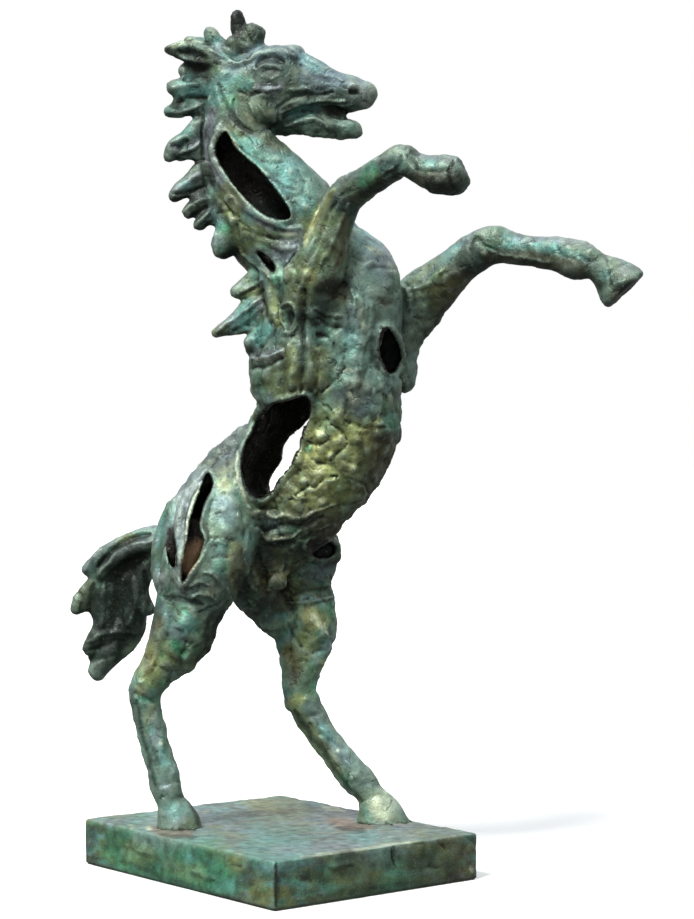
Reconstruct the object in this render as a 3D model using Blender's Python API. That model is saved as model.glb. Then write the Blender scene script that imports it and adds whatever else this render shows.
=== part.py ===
"""A rearing horse cast in bronze, standing on its hind hooves on a rectangular bronze slab.

The horse is one hollow casting with open wounds in its skin: a long one in the neck, one right through the
loins, slits in the rump, and small ones at the far elbow and the far thigh. The slab is the second piece.

The figure is laid out on a sighting grid, as a sculptor squares up a drawing: `right` and `up` are read on
an upright screen through the middle of the slab, `away` is the distance behind that screen, and every
length is counted in grid squares, GRID_ROWS of which make up the horse's height.
"""

from math import cos, pi, radians, sin

import bmesh
import bpy
from mathutils import Vector
from mathutils.bvhtree import BVHTree

# Driving sizes, in metres
HORSE_HEIGHT = 1.234
SLAB_LENGTH = 0.484
SLAB_WIDTH = 0.385
SLAB_THICKNESS = 0.0705
SLAB_EDGE_ROUND = 0.004
SEAT_GAP = 0.0003
CAST_WALL = 0.013

# The sighting grid
GRID_ROWS = 812
SQUARE = HORSE_HEIGHT / GRID_ROWS
SCREEN_TURN = radians(50.8)
EYE_RIGHT, EYE_UP, EYE_DISTANCE = 70, 395, 2400

# How far the trunk, the neck and the head are turned out of the screen towards the eye
TRUNK_TURN, NECK_TURN, HEAD_TURN = radians(38), radians(24), radians(10)

# Fineness of the skin
CLAY_GRAIN = 2.3 * SQUARE
SKIN_TRIANGLES = 9400


def screen_direction(right, away, up=0.0):
    """A direction of the sighting grid in the slab's own axes."""
    return Vector((
        right * cos(SCREEN_TURN) - away * sin(SCREEN_TURN),
        right * sin(SCREEN_TURN) + away * cos(SCREEN_TURN),
        up,
    ))


def at(right, up, away):
    """The place of a grid point, seen along its line of sight, in the slab's own axes."""
    spread = 1 + away / EYE_DISTANCE
    across = EYE_RIGHT + (right - EYE_RIGHT) * spread
    height = EYE_UP + (up - EYE_UP) * spread
    place = screen_direction(across, away, height) * SQUARE
    return place + Vector((0, 0, SLAB_THICKNESS + SEAT_GAP))


def sideways(turn):
    """The direction from the figure's right side to its left, for a part turned out of the screen."""
    return screen_direction(sin(turn), cos(turn))


AWAY = sideways(0.0)
TRUNK_LEFT = sideways(TRUNK_TURN)
NECK_LEFT = sideways(NECK_TURN)
HEAD_LEFT = sideways(HEAD_TURN)

# Forms. Each station is right, up, away, half the width across the form and half its thickness sideways.
TRUNK = [
    (-15, 296, 0, 54, 46),
    (10, 334, -8, 66, 50),
    (39, 374, -20, 72, 54),
    (52, 411, -30, 77, 56),
    (46, 454, -40, 76, 54),
    (46, 496, -48, 66, 50),
    (51, 534, -54, 66, 46),
    (55, 564, -58, 50, 36),
]
CROUP = [
    (-18, 383, -8, 19, 34),
    (-46, 352, 6, 22, 44),
    (-74, 316, 20, 23, 44),
    (-93, 288, 30, 21, 32),
]
NECK = [
    (37, 567, -60, 54, 38),
    (4, 603, -60, 59, 34),
    (-23, 643, -55, 51, 28),
    (-39, 681, -48, 36, 24),
    (-48, 721, -42, 29, 21),
    (-53, 750, -40, 24, 18),
]
HEAD = [
    (-53, 746, -39, 24, 17),
    (-27, 738, -44, 38, 23),
    (3, 738, -49, 40, 24),
    (31, 739, -54, 29, 18),
    (57, 735, -59, 18, 14),
    (74, 731, -62, 18, 15),
    (85, 730, -64, 14.5, 13),
]
JAW = [
    (-29, 718, -43, 24, 19),
    (3, 708, -49, 18, 15),
    (31, 702, -54, 11, 10),
    (56, 697, -59, 10, 9),
    (76, 696, -61, 9, 9),
]
BREAST = [
    (71, 573, -75, 26, 29),
    (86, 550, -78, 32, 33),
    (89, 500, -70, 34, 34),
    (81, 446, -60, 30, 32),
]
NEAR_SHOULDER = [
    (-2, 552, -78, 18, 14),
    (10, 516, -84, 30, 16),
    (6, 466, -80, 40, 18),
    (2, 432, -72, 34, 18),
]
FAR_SHOULDER = [
    (46, 552, -20, 26, 16),
    (82, 538, -14, 30, 20),
    (116, 510, -24, 28, 22),
]
NEAR_FORE = [
    (28, 522, -96, 24, 20),
    (37, 548, -104, 26, 23),
    (46, 570, -110, 23, 21),
    (57, 601, -118, 17.5, 16),
    (67, 627, -126, 17, 16),
    (93, 645, -160, 14.5, 12.5),
    (122, 664, -195, 15.5, 14),
    (136, 658, -205, 12, 11),
]
NEAR_FORE_HOOF = [
    (140, 657, -207, 12, 12),
    (158, 651, -213, 17, 16),
    (174, 650, -219, 18, 18),
    (186, 656, -222, 13, 14),
]
FAR_FORE = [
    (121, 452, -30, 18, 19),
    (121, 486, -32, 21, 25),
    (138, 519, -38, 27, 26),
    (160, 541, -50, 24, 22),
    (184, 563, -66, 19, 17),
    (214, 580, -80, 19, 16),
    (243, 575, -95, 14.5, 12),
    (275, 572, -112, 16, 12),
    (301, 565, -126, 19, 14),
    (319, 561, -132, 12, 11),
]
FAR_FORE_HOOF = [
    (320, 558, -133, 13, 12),
    (334, 549, -137, 19, 17),
    (348, 535, -140, 25, 20),
]
FAR_HAUNCH = [
    (-40, 350, 38, 30, 32),
    (-32, 312, 54, 44, 36),
    (-6, 272, 54, 42, 34),
]
NEAR_HIND = [
    (-40, 344, -25, 28, 40),
    (-55, 306, -42, 42, 42),
    (-73, 261, -50, 42, 40),
    (-87, 221, -47, 34, 33),
    (-99, 186, -41, 30, 26),
    (-119, 157, -36, 19, 18),
    (-132, 136, -33, 16, 14),
    (-131, 115, -31, 15, 12),
    (-123, 81, -26, 14.5, 11),
    (-115, 52, -21, 15.5, 12),
    (-111, 35, -19, 15, 13),
    (-107, 23, -18, 13, 12),
]
NEAR_HIND_HOOF = [
    (-107, 24, -18, 13, 13),
    (-101, 8, -17, 20, 18),
    (-98, -10, -16, 23, 21),
]
FAR_HIND = [
    (8, 306, 28, 36, 34),
    (23, 273, 36, 40, 36),
    (25, 238, 38, 28, 28),
    (27, 203, 34, 33, 27),
    (26, 180, 30, 27, 22),
    (24, 157, 25, 20, 16),
    (22, 133, 22, 17, 14),
    (35, 105, 21, 15.5, 12),
    (58, 72, 20, 14.5, 11),
    (81, 45, 19, 16.5, 13),
    (93, 32, 18, 13, 11.5),
]
FAR_HIND_HOOF = [
    (93, 30, 18, 14, 12.5),
    (101, 14, 18, 22, 17),
    (108, -10, 18, 30, 22),
]
INNER_THIGH = [
    (-34, 262, -8, 28, 22),
    (-18, 228, 12, 22, 20),
    (8, 202, 26, 18, 18),
]
FAR_HOCK = [
    (18, 140, 22, 10, 9),
    (14, 122, 22, 8, 8),
]
SHEATH = [
    (2, 266, -14, 9, 9),
    (-2, 244, -24, 11, 10),
]
HAMSTRINGS = {
    "outer": [(-104, 318, -6, 8, 9), (-113, 296, -10, 8, 9), (-118, 272, -16, 8, 10), (-118, 250, -24, 8, 10),
              (-112, 230, -32, 7, 8)],
    "backing": [(-98, 318, -14, 12, 12), (-104, 280, -24, 13, 12), (-104, 244, -30, 12, 12)],
    "middle": [(-74, 352, -46, 7, 7), (-92, 316, -64, 8, 9), (-98, 282, -74, 8, 9), (-100, 236, -72, 7, 8)],
}

# Tufts on the poll and the crown of the head
TUFTS = [
    [(-56, 776, -40, 9, 8), (-65, 788, -38, 7.5, 7), (-68, 792, -37, 6.5, 6)],
    [(-34, 776, -44, 9, 8), (-38, 792, -44, 7, 7), (-40, 808, -44, 6.5, 6.5)],
    [(-28, 778, -48, 12, 9), (-23, 790, -48, 11, 10)],
    [(-48, 774, -50, 8, 7), (-42, 780, -50, 7.5, 7), (-38, 781, -50, 6, 6)],
    [(-58, 772, -34, 9, 8), (-82, 779, -28, 6, 6)],
]

# Mane locks of the near row
MANE = [
    [(-74, 752, -38, 12, 8), (-87, 754, -40, 10, 7), (-92, 752, -41, 8, 6)],
    [(-70, 736, -42, 13, 8), (-86, 736, -44, 12, 6.5), (-99, 737, -46, 10, 6), (-105, 738, -46, 8, 5.5)],
    [(-94, 732, -44, 7, 5), (-100, 720, -44, 6, 5)],
    [(-70, 718, -44, 9, 6), (-87, 716, -44, 8.5, 5.5), (-102, 714, -42, 7.5, 5), (-109, 713, -41, 6, 5)],
    [(-68, 702, -46, 13, 7), (-81, 694, -46, 11, 6.5), (-91, 686, -48, 8.5, 6), (-102, 680, -50, 7.5, 6),
     (-107, 672, -50, 7, 5.5), (-108, 667, -50, 6, 5)],
    [(-70, 676, -46, 13, 6), (-88, 673, -46, 10, 5.5), (-97, 668, -46, 6, 5)],
    [(-68, 658, -48, 14, 8), (-83, 644, -50, 11, 7), (-97, 634, -52, 9, 7), (-103, 629, -53, 7, 6)],
    [(-66, 630, -50, 13, 8), (-78, 621, -52, 10, 7), (-89, 613, -53, 7, 6)],
    [(-60, 614, -52, 10, 7), (-71, 606, -54, 8, 6), (-78, 600, -54, 5.5, 5)],
    [(-46, 600, -56, 15, 9), (-53, 586, -58, 12, 9), (-53, 574, -58, 11, 8)],
    [(-8, 553, -62, 14, 8), (-24, 543, -63, 11, 7), (-37, 535, -65, 8.5, 6), (-43, 533, -66, 6.5, 5)],
    [(0, 508, -68, 10, 6.5), (-12, 493, -69, 13, 6.5), (-22, 485, -71, 10, 6), (-29, 482, -72, 7, 5)],
    [(2, 488, -66, 9, 5.5), (-8, 475, -66, 11, 5.5), (-16, 469, -66, 8.5, 5), (-21, 467, -66, 6, 4.5)],
]

# The far row behind it: its share of a lock's length, how far behind, and where the row ends
FAR_LOCK_LENGTH, FAR_LOCK_AWAY, CREST_END = 0.7, 14, -40

# The broad locks that lie on the shoulder
SHOULDER_LOCKS = [
    [(-2, 524, -66, 22, 10), (-22, 512, -66, 19, 8), (-42, 501, -64, 11, 6), (-62, 492, -62, 5, 4.5)],
    [(-2, 498, -66, 20, 10), (-16, 486, -65, 14, 8), (-28, 476, -64, 6, 5)],
]

# Tail strands
TAIL = [
    [(-104, 290, 40, 9, 9), (-122, 291, 46, 9, 9), (-143, 287, 52, 8, 9), (-167, 275, 60, 8, 8),
     (-184, 261, 66, 8, 7), (-190, 255, 68, 7, 6)],
    [(-108, 284, 30, 8, 8), (-128, 281, 36, 7, 8), (-149, 274, 44, 6, 7), (-168, 261, 50, 6, 6),
     (-176, 252, 54, 5, 5)],
    [(-112, 280, 40, 14, 8), (-140, 262, 54, 20, 8), (-160, 232, 64, 32, 8), (-158, 200, 70, 28, 7),
     (-172, 174, 72, 20, 7), (-178, 158, 74, 11, 7)],
    [(-172, 252, 62, 9, 7), (-188, 232, 66, 12, 7), (-201, 217, 68, 8, 7)],
    [(-168, 210, 66, 10, 8), (-184, 184, 66, 9, 8), (-189, 177, 66, 7, 7)],
    [(-126, 268, 46, 9, 9), (-138, 238, 52, 10, 9), (-131, 217, 50, 8.5, 9)],
    [(-140, 236, 56, 10, 9), (-143, 208, 58, 11, 8), (-143, 198, 60, 8.5, 7)],
    [(-160, 200, 66, 10, 8), (-170, 172, 66, 10, 8), (-181, 153, 68, 9, 8)],
]

# Features of the face, for one side: right, up, out from the middle plane, half width and half thickness
FACE = {
    "eyeball": [(-8, 755, 16, 7, 7), (-3, 755, 16, 7, 7)],
    "brow": [(-26, 761, 15, 4, 4), (-15, 767, 15.5, 4.5, 4), (-2, 769, 14.5, 4.5, 4), (11, 769, 13.5, 4, 4),
             (20, 762, 14, 3, 3)],
    "frontal": [(4, 768, 6, 10, 9), (18, 770, 6, 10, 9)],
    "lower_lid": [(-18, 747, 20, 3, 3), (-6, 743, 21, 3, 3), (8, 747, 20, 3, 3)],
    "cheek": [(2, 717, 20, 3.5, 3), (23, 726, 17, 4, 3), (50, 733, 12, 3, 3)],
    "jowl": [(-24, 722, 17, 12, 8), (-12, 714, 19, 13, 7), (4, 712, 16, 9, 6)],
    "nostril": [(70, 738, 10, 6, 5), (80, 738, 10, 6, 5)],
    "upper_lip": [(66, 722, 8, 5, 5), (86, 721, 5, 5, 5)],
}
NOSTRIL_PIT = [(76, 733, 15, 3.2, 5), (82, 731, 14, 3.2, 5)]
NEAR_EAR = [(-52, 762, -9, 8, 7), (-68, 768, -13, 10, 7), (-86, 773, -16, 11, 6), (-99, 775, -17, 7, 5),
            (-107, 775, -17, 3, 3)]
NEAR_EAR_PIT = [(-70, 765, -23, 7, 5), (-84, 769, -25, 9.5, 6), (-97, 772, -24, 6, 5)]
FAR_EAR = [(-50, 768, 9, 7, 6), (-66, 778, 13, 7, 5.5), (-83, 783, 16, 5.5, 5), (-92, 784, 17, 5, 4.5)]
# The web of lip and tongue that closes the mouth behind the teeth line
TONGUE = [(22, 712, 0, 10, 10), (45, 712, 0, 12, 7), (65, 711, 0, 9, 5)]


# Openings in the skin. Each outline is right and up of a closed curve. `away` is where the cut starts and ends.
WINDOWS = {
    "neck": {
        "outline": [(-53, 694), (-63, 676), (-55, 656), (-37, 632), (-20, 615), (-4, 606), (11, 606), (12, 616),
                    (-3, 638), (-20, 658), (-37, 672), (-47, 687)],
        "away": (-140, -50),
    },
    "loin_near": {
        "outline": [(22, 430), (31, 428), (33, 414), (25, 386), (17, 363), (6, 350), (-5, 333), (-14, 326),
                    (-24, 327), (-33, 337), (-37, 356), (-35, 376), (-27, 391), (-21, 405), (-9, 421), (6, 425)],
        "away": (-170, -20),
    },
    "loin_far": {
        "outline": [(27, 404), (8, 384), (3, 366), (-6, 354), (-10, 340), (-8, 330), (6, 320), (34, 330),
                    (54, 352), (64, 380), (62, 408), (46, 418)],
        "away": (-20, 110),
    },
    "elbow": {
        "outline": [(105, 498), (112, 497), (121, 482), (123, 466), (117, 453), (108, 453), (102, 466), (101, 484)],
        "away": (-100, -30),
    },
    "rump": {
        "outline": [(-70, 354), (-64, 343), (-69, 329), (-75, 314), (-78, 298), (-73, 286), (-78, 268), (-88, 252),
                    (-96, 240), (-97, 258), (-91, 283), (-88, 305), (-79, 332)],
        "away": (-140, -50),
    },
    "buttock": {
        "outline": [(-107, 304), (-111, 290), (-111, 273), (-105, 256), (-100, 264), (-101, 280), (-104, 296)],
        "away": (-90, -40),
    },
    "withers": {
        "outline": [(-21, 575), (-11, 570), (-3, 561), (-3, 552), (-10, 557), (-18, 568)],
        "away": (-140, -70),
    },
    "far_thigh": {
        "outline": [(30, 284), (44, 288), (56, 282), (57, 272), (46, 266), (31, 272)],
        "away": (-20, 22),
    },
}
HOLLOWS = {
    "neck": (NECK[:-1], NECK_LEFT),
    "trunk": (TRUNK[1:6], TRUNK_LEFT),
    "haunch": ([(-56, 330, -34, 28, 36), (-74, 290, -44, 34, 40), (-84, 252, -46, 30, 36)], AWAY),
}
# The radius of the roll of metal round an opening, half of which the opening cuts away
RIMS = {"neck": 4.5, "loin_near": 5, "loin_far": 5.5, "elbow": 4.5, "rump": 4.5, "far_thigh": 5}


def curve_through(stations, steps, closed=False):
    """The stations with more between them, on a smooth curve through all of them."""
    filled = []
    count = len(stations)
    for i in range(count if closed else count - 1):
        around = (i - 1, i, i + 1, i + 2)
        corners = [stations[k % count if closed else min(max(k, 0), count - 1)] for k in around]
        for step in range(steps):
            t = step / steps
            filled.append([
                0.5 * (2 * b + (c - a) * t + (2 * a - 5 * b + 4 * c - d) * t**2 + (3 * b - a - 3 * c + d) * t**3)
                for a, b, c, d in zip(*corners)
            ])
    return filled if closed else filled + [list(stations[-1])]


def round_end(section, sign, steps=4):
    """Sections that close a form with a dome as deep as the form is thick."""
    place, along, wide, thick, half_width, half_thickness = section
    depth = min(half_width, half_thickness)
    dome = []
    for step in range(1, steps + 1):
        a = step / (steps + 0.35) * pi / 2
        shrink = cos(a)
        dome.append((
            place + along * sign * depth * sin(a), along, wide, thick, half_width * shrink, half_thickness * shrink,
        ))
    return dome


def bridge(clay, rings, closed=False):
    """Faces between neighbouring rings of vertices, with the ends capped unless the rings close on themselves."""
    pairs = list(zip(rings, rings[1:] + rings[:1])) if closed else list(zip(rings, rings[1:]))
    for low, high in pairs:
        for k in range(len(low)):
            after = (k + 1) % len(low)
            clay.faces.new((low[k], low[after], high[after], high[k]))
    if not closed:
        clay.faces.new(rings[0][::-1])
        clay.faces.new(rings[-1])


def add_form(clay, stations, left=AWAY, steps=4, sides=20, flat_end=False, inset=0.0):
    """Adds a closed, round-ended form whose sections are ellipses along the stations."""
    filled = curve_through(stations, steps)
    places = [at(*station[:3]) for station in filled]
    sections = []
    for i, (place, station) in enumerate(zip(places, filled)):
        along = (places[min(i + 1, len(places) - 1)] - places[max(i - 1, 0)]).normalized()
        thick = (left - along * left.dot(along)).normalized()
        half_width, half_thickness = (max(half * SQUARE - inset, SQUARE) for half in station[3:5])
        sections.append((place, along, along.cross(thick), thick, half_width, half_thickness))
    sections = round_end(sections[0], -1)[::-1] + sections
    if not flat_end:
        sections += round_end(sections[-1], 1)
    angles = [2 * pi * k / sides for k in range(sides)]
    bridge(clay, [
        [clay.verts.new(place + wide * half_width * cos(a) + thick * half_thickness * sin(a)) for a in angles]
        for place, _, wide, thick, half_width, half_thickness in sections
    ])


def add_ring(clay, places, radius, sides=8):
    """Adds a closed loop of round section through the places."""
    angles = [2 * pi * k / sides for k in range(sides)]
    rings = []
    for before, place, after in zip(places[-1:] + places[:-1], places, places[1:] + places[:1]):
        along = (after - before).normalized()
        across = along.cross(AWAY).normalized()
        rings.append([
            clay.verts.new(place + (across * cos(a) + along.cross(across) * sin(a)) * radius) for a in angles
        ])
    bridge(clay, rings, closed=True)


def add_window(clay, outline, away):
    """Adds a prism that follows the lines of sight through an outline."""
    edge = curve_through(outline, 2, closed=True)
    bridge(clay, [[clay.verts.new(at(right, up, depth)) for right, up in edge] for depth in away])


def head_point(right, up, out):
    """A place on the head, `out` squares from its middle plane towards the horse's left."""
    middle = -39 - 0.176 * (right + 53)
    return right + sin(HEAD_TURN) * out, up, middle + cos(HEAD_TURN) * out


def far_lock(stations):
    """The lock behind another one, on the far side of the crest: as high, but shorter and thinner."""
    root, tip = stations[0], stations[-1]
    return [
        (
            root[0] + share * FAR_LOCK_LENGTH * (tip[0] - root[0]),
            root[1] + share * FAR_LOCK_LENGTH * (tip[1] - root[1]),
            root[2] + FAR_LOCK_AWAY,
            (1 - 0.5 * share) * root[3],
            (1 - 0.3 * share) * root[4],
        )
        for share in (0, 0.5, 1)
    ]


def mesh_object(name, clay):
    """Turns the clay into a mesh object of that name."""
    bmesh.ops.recalc_face_normals(clay, faces=clay.faces)
    mesh = bpy.data.meshes.new(name)
    clay.to_mesh(mesh)
    clay.free()
    obj = bpy.data.objects.new(name, mesh)
    bpy.context.scene.collection.objects.link(obj)
    return obj


def modifier(obj, kind, **settings):
    made = obj.modifiers.new(kind.title(), kind)
    for name, value in settings.items():
        setattr(made, name, value)
    return made


def fuse(obj, grain, rounds):
    """Melts the overlapping forms of an object into one skin and smooths it."""
    modifier(obj, "REMESH", mode="VOXEL", voxel_size=grain)
    modifier(obj, "SMOOTH", factor=0.5, iterations=rounds)


def finished_mesh(obj):
    """The mesh that the object's modifiers make."""
    bpy.context.view_layer.update()
    graph = bpy.context.evaluated_depsgraph_get()
    return bpy.data.meshes.new_from_object(obj.evaluated_get(graph))


def body_forms(clay):
    """Adds the trunk, the head, the legs, the mane and the tail."""
    for stations in (TRUNK, CROUP, BREAST, NEAR_SHOULDER, FAR_SHOULDER, FAR_HAUNCH, INNER_THIGH):
        add_form(clay, stations, TRUNK_LEFT, sides=28)
    add_form(clay, NECK, NECK_LEFT, sides=28)
    add_form(clay, HEAD, HEAD_LEFT, sides=28)
    add_form(clay, JAW, HEAD_LEFT)
    for stations in (NEAR_FORE, FAR_FORE, NEAR_HIND, FAR_HIND, FAR_HOCK, SHEATH, *HAMSTRINGS.values()):
        add_form(clay, stations)
    for stations in (NEAR_FORE_HOOF, FAR_FORE_HOOF, NEAR_HIND_HOOF, FAR_HIND_HOOF):
        add_form(clay, stations, flat_end=True)
    for stations in (*TUFTS, *MANE, *SHOULDER_LOCKS, *TAIL):
        add_form(clay, stations)
    for stations in MANE:
        if len(stations) > 2 and stations[0][0] < CREST_END:
            add_form(clay, far_lock(stations))
    for side in (-1, 1):
        for stations in FACE.values():
            add_form(clay, on_head(stations, side))
    add_form(clay, on_head(NEAR_EAR))
    add_form(clay, on_head(FAR_EAR))
    add_form(clay, on_head(TONGUE))


def on_head(stations, side=1):
    return [(*head_point(right, up, out * side), *halves) for right, up, out, *halves in stations]


def skin_points(skin, outline, from_behind):
    """Where the lines of sight through an outline meet the skin, evened out along the outline."""
    depths = []
    for right, up in outline:
        near, far = at(right, up, -420), at(right, up, 420)
        start, towards = (far, near - far) if from_behind else (near, far - near)
        hit = skin.ray_cast(start, towards.normalized())[0]
        depths.append((hit - near).length / (far - near).length if hit else (depths[-1] if depths else 0.4))
    for _ in range(3):
        depths = [(a + 2 * b + c) / 4 for a, b, c in zip(depths[-1:] + depths[:-1], depths, depths[1:] + depths[:1])]
    return [at(right, up, -420 + 840 * depth) for (right, up), depth in zip(outline, depths)]


def material(name, colour, roughness, metallic):
    made = bpy.data.materials.new(name)
    made.use_nodes = True
    surface = made.node_tree.nodes["Principled BSDF"]
    surface.inputs["Base Color"].default_value = (*colour, 1)
    surface.inputs["Roughness"].default_value = roughness
    surface.inputs["Metallic"].default_value = metallic
    return made


def main():
    for obj in list(bpy.data.objects):
        bpy.data.objects.remove(obj)

    # The body as solid clay
    clay = bmesh.new()
    body_forms(clay)
    model = mesh_object("solid_clay", clay)
    fuse(model, CLAY_GRAIN, 2)
    skin = BVHTree.FromObject(model, bpy.context.evaluated_depsgraph_get())

    # Rolls of metal round the openings
    clay = bmesh.new()
    clay.from_mesh(finished_mesh(model))
    for name, radius in RIMS.items():
        outline = curve_through(WINDOWS[name]["outline"], 3, closed=True)
        add_ring(clay, skin_points(skin, outline, name == "loin_far"), radius * SQUARE)
    rimmed = mesh_object("rimmed_clay", clay)
    fuse(rimmed, CLAY_GRAIN, 1)

    # The hollow inside and the openings into it
    clay = bmesh.new()
    for stations, left in HOLLOWS.values():
        add_form(clay, stations, left, inset=CAST_WALL)
    cavity = mesh_object("cavity", clay)
    clay = bmesh.new()
    for window in WINDOWS.values():
        add_window(clay, window["outline"], window["away"])
    for stations in (on_head(NEAR_EAR_PIT), on_head(NOSTRIL_PIT), on_head(NOSTRIL_PIT, -1)):
        add_form(clay, stations)
    windows = mesh_object("windows", clay)
    for cutter in (cavity, windows):
        fuse(cutter, CLAY_GRAIN, 2)
        cutter.hide_render = True
        cutter.display_type = "WIRE"
        modifier(rimmed, "BOOLEAN", operation="DIFFERENCE", object=cutter)
    horse = bpy.data.objects.new("horse", finished_mesh(rimmed))
    bpy.context.scene.collection.objects.link(horse)
    for helper in (model, rimmed, cavity, windows):
        bpy.data.objects.remove(helper)
    fuse(horse, CLAY_GRAIN, 1)
    modifier(horse, "DECIMATE", ratio=SKIN_TRIANGLES / (2 * len(finished_mesh(horse).polygons)))

    # The hooves are flat where they stand on the slab
    clay = bmesh.new()
    bmesh.ops.create_cube(clay, size=1.0)
    floor = mesh_object("floor", clay)
    floor.scale = (1.0, 1.0, 0.2)
    floor.location.z = SLAB_THICKNESS + SEAT_GAP - 0.1
    floor.hide_render = True
    floor.display_type = "WIRE"
    modifier(horse, "BOOLEAN", operation="DIFFERENCE", object=floor)
    horse.data.materials.append(material("verdigris_bronze", (0.055, 0.075, 0.045), 0.62, 0.45))

    clay = bmesh.new()
    bmesh.ops.create_cube(clay, size=1.0)
    bmesh.ops.scale(clay, vec=(SLAB_LENGTH, SLAB_WIDTH, SLAB_THICKNESS), verts=clay.verts)
    bmesh.ops.translate(clay, vec=(0, 0, SLAB_THICKNESS / 2), verts=clay.verts)
    slab = mesh_object("slab", clay)
    modifier(slab, "BEVEL", width=SLAB_EDGE_ROUND, segments=2)
    slab.data.materials.append(material("slab_bronze", (0.10, 0.12, 0.075), 0.68, 0.35))


main()
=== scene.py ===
"""The looks of the rearing bronze horse: a skin of pressed clay pats under verdigris, and its rough slab.

The horse's skin is built from the same forms as its solid, finer and with its relief, and replaces it. The
forms are laid out on a sighting grid, as a sculptor squares up a drawing: `right` and `up` are read on an
upright screen through the middle of the slab, and `away` is the distance behind that screen. Every length is
counted in grid squares, GRID_ROWS of which make up the horse's height.
"""

from math import cos, pi, radians, sin

import bmesh
import bpy
import numpy as np
from mathutils import Matrix, Vector, noise
from mathutils.bvhtree import BVHTree
from mathutils.kdtree import KDTree


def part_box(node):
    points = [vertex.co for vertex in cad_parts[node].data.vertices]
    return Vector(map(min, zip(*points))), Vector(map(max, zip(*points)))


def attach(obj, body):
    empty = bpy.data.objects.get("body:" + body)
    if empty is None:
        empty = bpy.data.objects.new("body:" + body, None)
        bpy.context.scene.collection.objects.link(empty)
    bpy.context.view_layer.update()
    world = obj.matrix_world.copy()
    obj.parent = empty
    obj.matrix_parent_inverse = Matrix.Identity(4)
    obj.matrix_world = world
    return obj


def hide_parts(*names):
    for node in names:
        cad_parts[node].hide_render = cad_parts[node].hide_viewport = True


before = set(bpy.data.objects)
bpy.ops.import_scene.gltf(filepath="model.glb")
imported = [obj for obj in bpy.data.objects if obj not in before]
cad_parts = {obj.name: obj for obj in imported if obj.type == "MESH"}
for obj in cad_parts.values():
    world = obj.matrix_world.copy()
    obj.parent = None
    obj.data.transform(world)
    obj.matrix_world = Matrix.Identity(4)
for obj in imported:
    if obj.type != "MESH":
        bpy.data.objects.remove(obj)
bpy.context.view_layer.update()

# Driving sizes, in metres
HORSE_HEIGHT = 1.234
SLAB_THICKNESS = 0.0705
SLAB_EDGE_ROUND = 0.004
SEAT_GAP = 0.0003
CAST_WALL = 0.013

# The sighting grid
GRID_ROWS = 812
SQUARE = HORSE_HEIGHT / GRID_ROWS
SCREEN_TURN = radians(50.8)
EYE_RIGHT, EYE_UP, EYE_DISTANCE = 70, 395, 2400

# How far the trunk, the neck and the head are turned out of the screen towards the eye
TRUNK_TURN, NECK_TURN, HEAD_TURN = radians(38), radians(24), radians(10)

# The head's middle plane: how far away it is at the poll, and how much nearer it comes with each square
POLL_RIGHT, POLL_AWAY, HEAD_SLANT = -53, -39, 0.176

# Fineness of the skin
FORM_GRAIN = 1.9 * SQUARE
SKIN_GRAIN = 1.75 * SQUARE
SKIN_TRIANGLES = 195000
SLAB_GRAIN = 2.4 * SQUARE
SLAB_TRIANGLES = 90000

# Sides of a broad form, and how far short of its pole, in steps, the last ring of a round end stays
BROAD_SIDES, POLE_GAP = 28, 0.35

# How far a line of sight is followed each way, and the share of it to take where it meets nothing at first
SIGHT_REACH, SIGHT_SHARE = 420, 0.4

# Steps from mark to mark of a curve and of a cut's edge
CURVE_STEPS, CUT_STEPS = 3, 2

# Rounds of evening out: for normals, for what is seen, and for the skin that creases are measured from
NORMAL_ROUNDS, SEEN_ROUNDS, FINE_ROUNDS, BROAD_ROUNDS = 2, 3, 3, 16

SEED = 7
TINY = 1e-9


def screen_direction(right, away, up=0.0):
    """A direction of the sighting grid in the slab's own axes."""
    return Vector((
        right * cos(SCREEN_TURN) - away * sin(SCREEN_TURN),
        right * sin(SCREEN_TURN) + away * cos(SCREEN_TURN),
        up,
    ))


def at(right, up, away):
    """The place of a grid point, seen along its line of sight, in the slab's own axes."""
    spread = 1 + away / EYE_DISTANCE
    across = EYE_RIGHT + (right - EYE_RIGHT) * spread
    height = EYE_UP + (up - EYE_UP) * spread
    place = screen_direction(across, away, height) * SQUARE
    return place + Vector((0, 0, SLAB_THICKNESS + SEAT_GAP))


def sideways(turn):
    """The direction from the figure's right side to its left, for a part turned out of the screen."""
    return screen_direction(sin(turn), cos(turn))


AWAY = sideways(0.0)
TRUNK_LEFT = sideways(TRUNK_TURN)
NECK_LEFT = sideways(NECK_TURN)
HEAD_LEFT = sideways(HEAD_TURN)

# Forms. Each station is right, up, away, half the width across the form and half its thickness sideways.
TRUNK = [
    (-15, 296, 0, 54, 46), (10, 334, -8, 66, 50), (39, 374, -20, 72, 54), (52, 411, -30, 77, 56),
    (46, 454, -40, 76, 54), (46, 496, -48, 66, 50), (51, 534, -54, 66, 46), (55, 564, -58, 50, 36),
]
CROUP = [(-18, 383, -8, 19, 34), (-46, 352, 6, 22, 44), (-74, 316, 20, 23, 44), (-93, 288, 30, 21, 32)]
NECK = [
    (37, 567, -60, 54, 38), (4, 603, -60, 59, 34), (-23, 643, -55, 51, 28), (-39, 681, -48, 36, 24),
    (-48, 721, -42, 29, 21), (-53, 750, -40, 24, 18),
]
HEAD = [
    (-53, 746, -39, 24, 17), (-27, 738, -44, 38, 23), (3, 738, -49, 40, 24), (31, 739, -54, 29, 18),
    (57, 735, -59, 18, 14), (74, 731, -62, 18, 15), (85, 730, -64, 14.5, 13),
]
JAW = [
    (-29, 718, -43, 24, 19), (3, 708, -49, 18, 15), (31, 702, -54, 11, 10), (56, 697, -59, 10, 9),
    (76, 696, -61, 9, 9),
]
BREAST = [(71, 573, -75, 26, 29), (86, 550, -78, 32, 33), (89, 500, -70, 34, 34), (81, 446, -60, 30, 32)]
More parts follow.
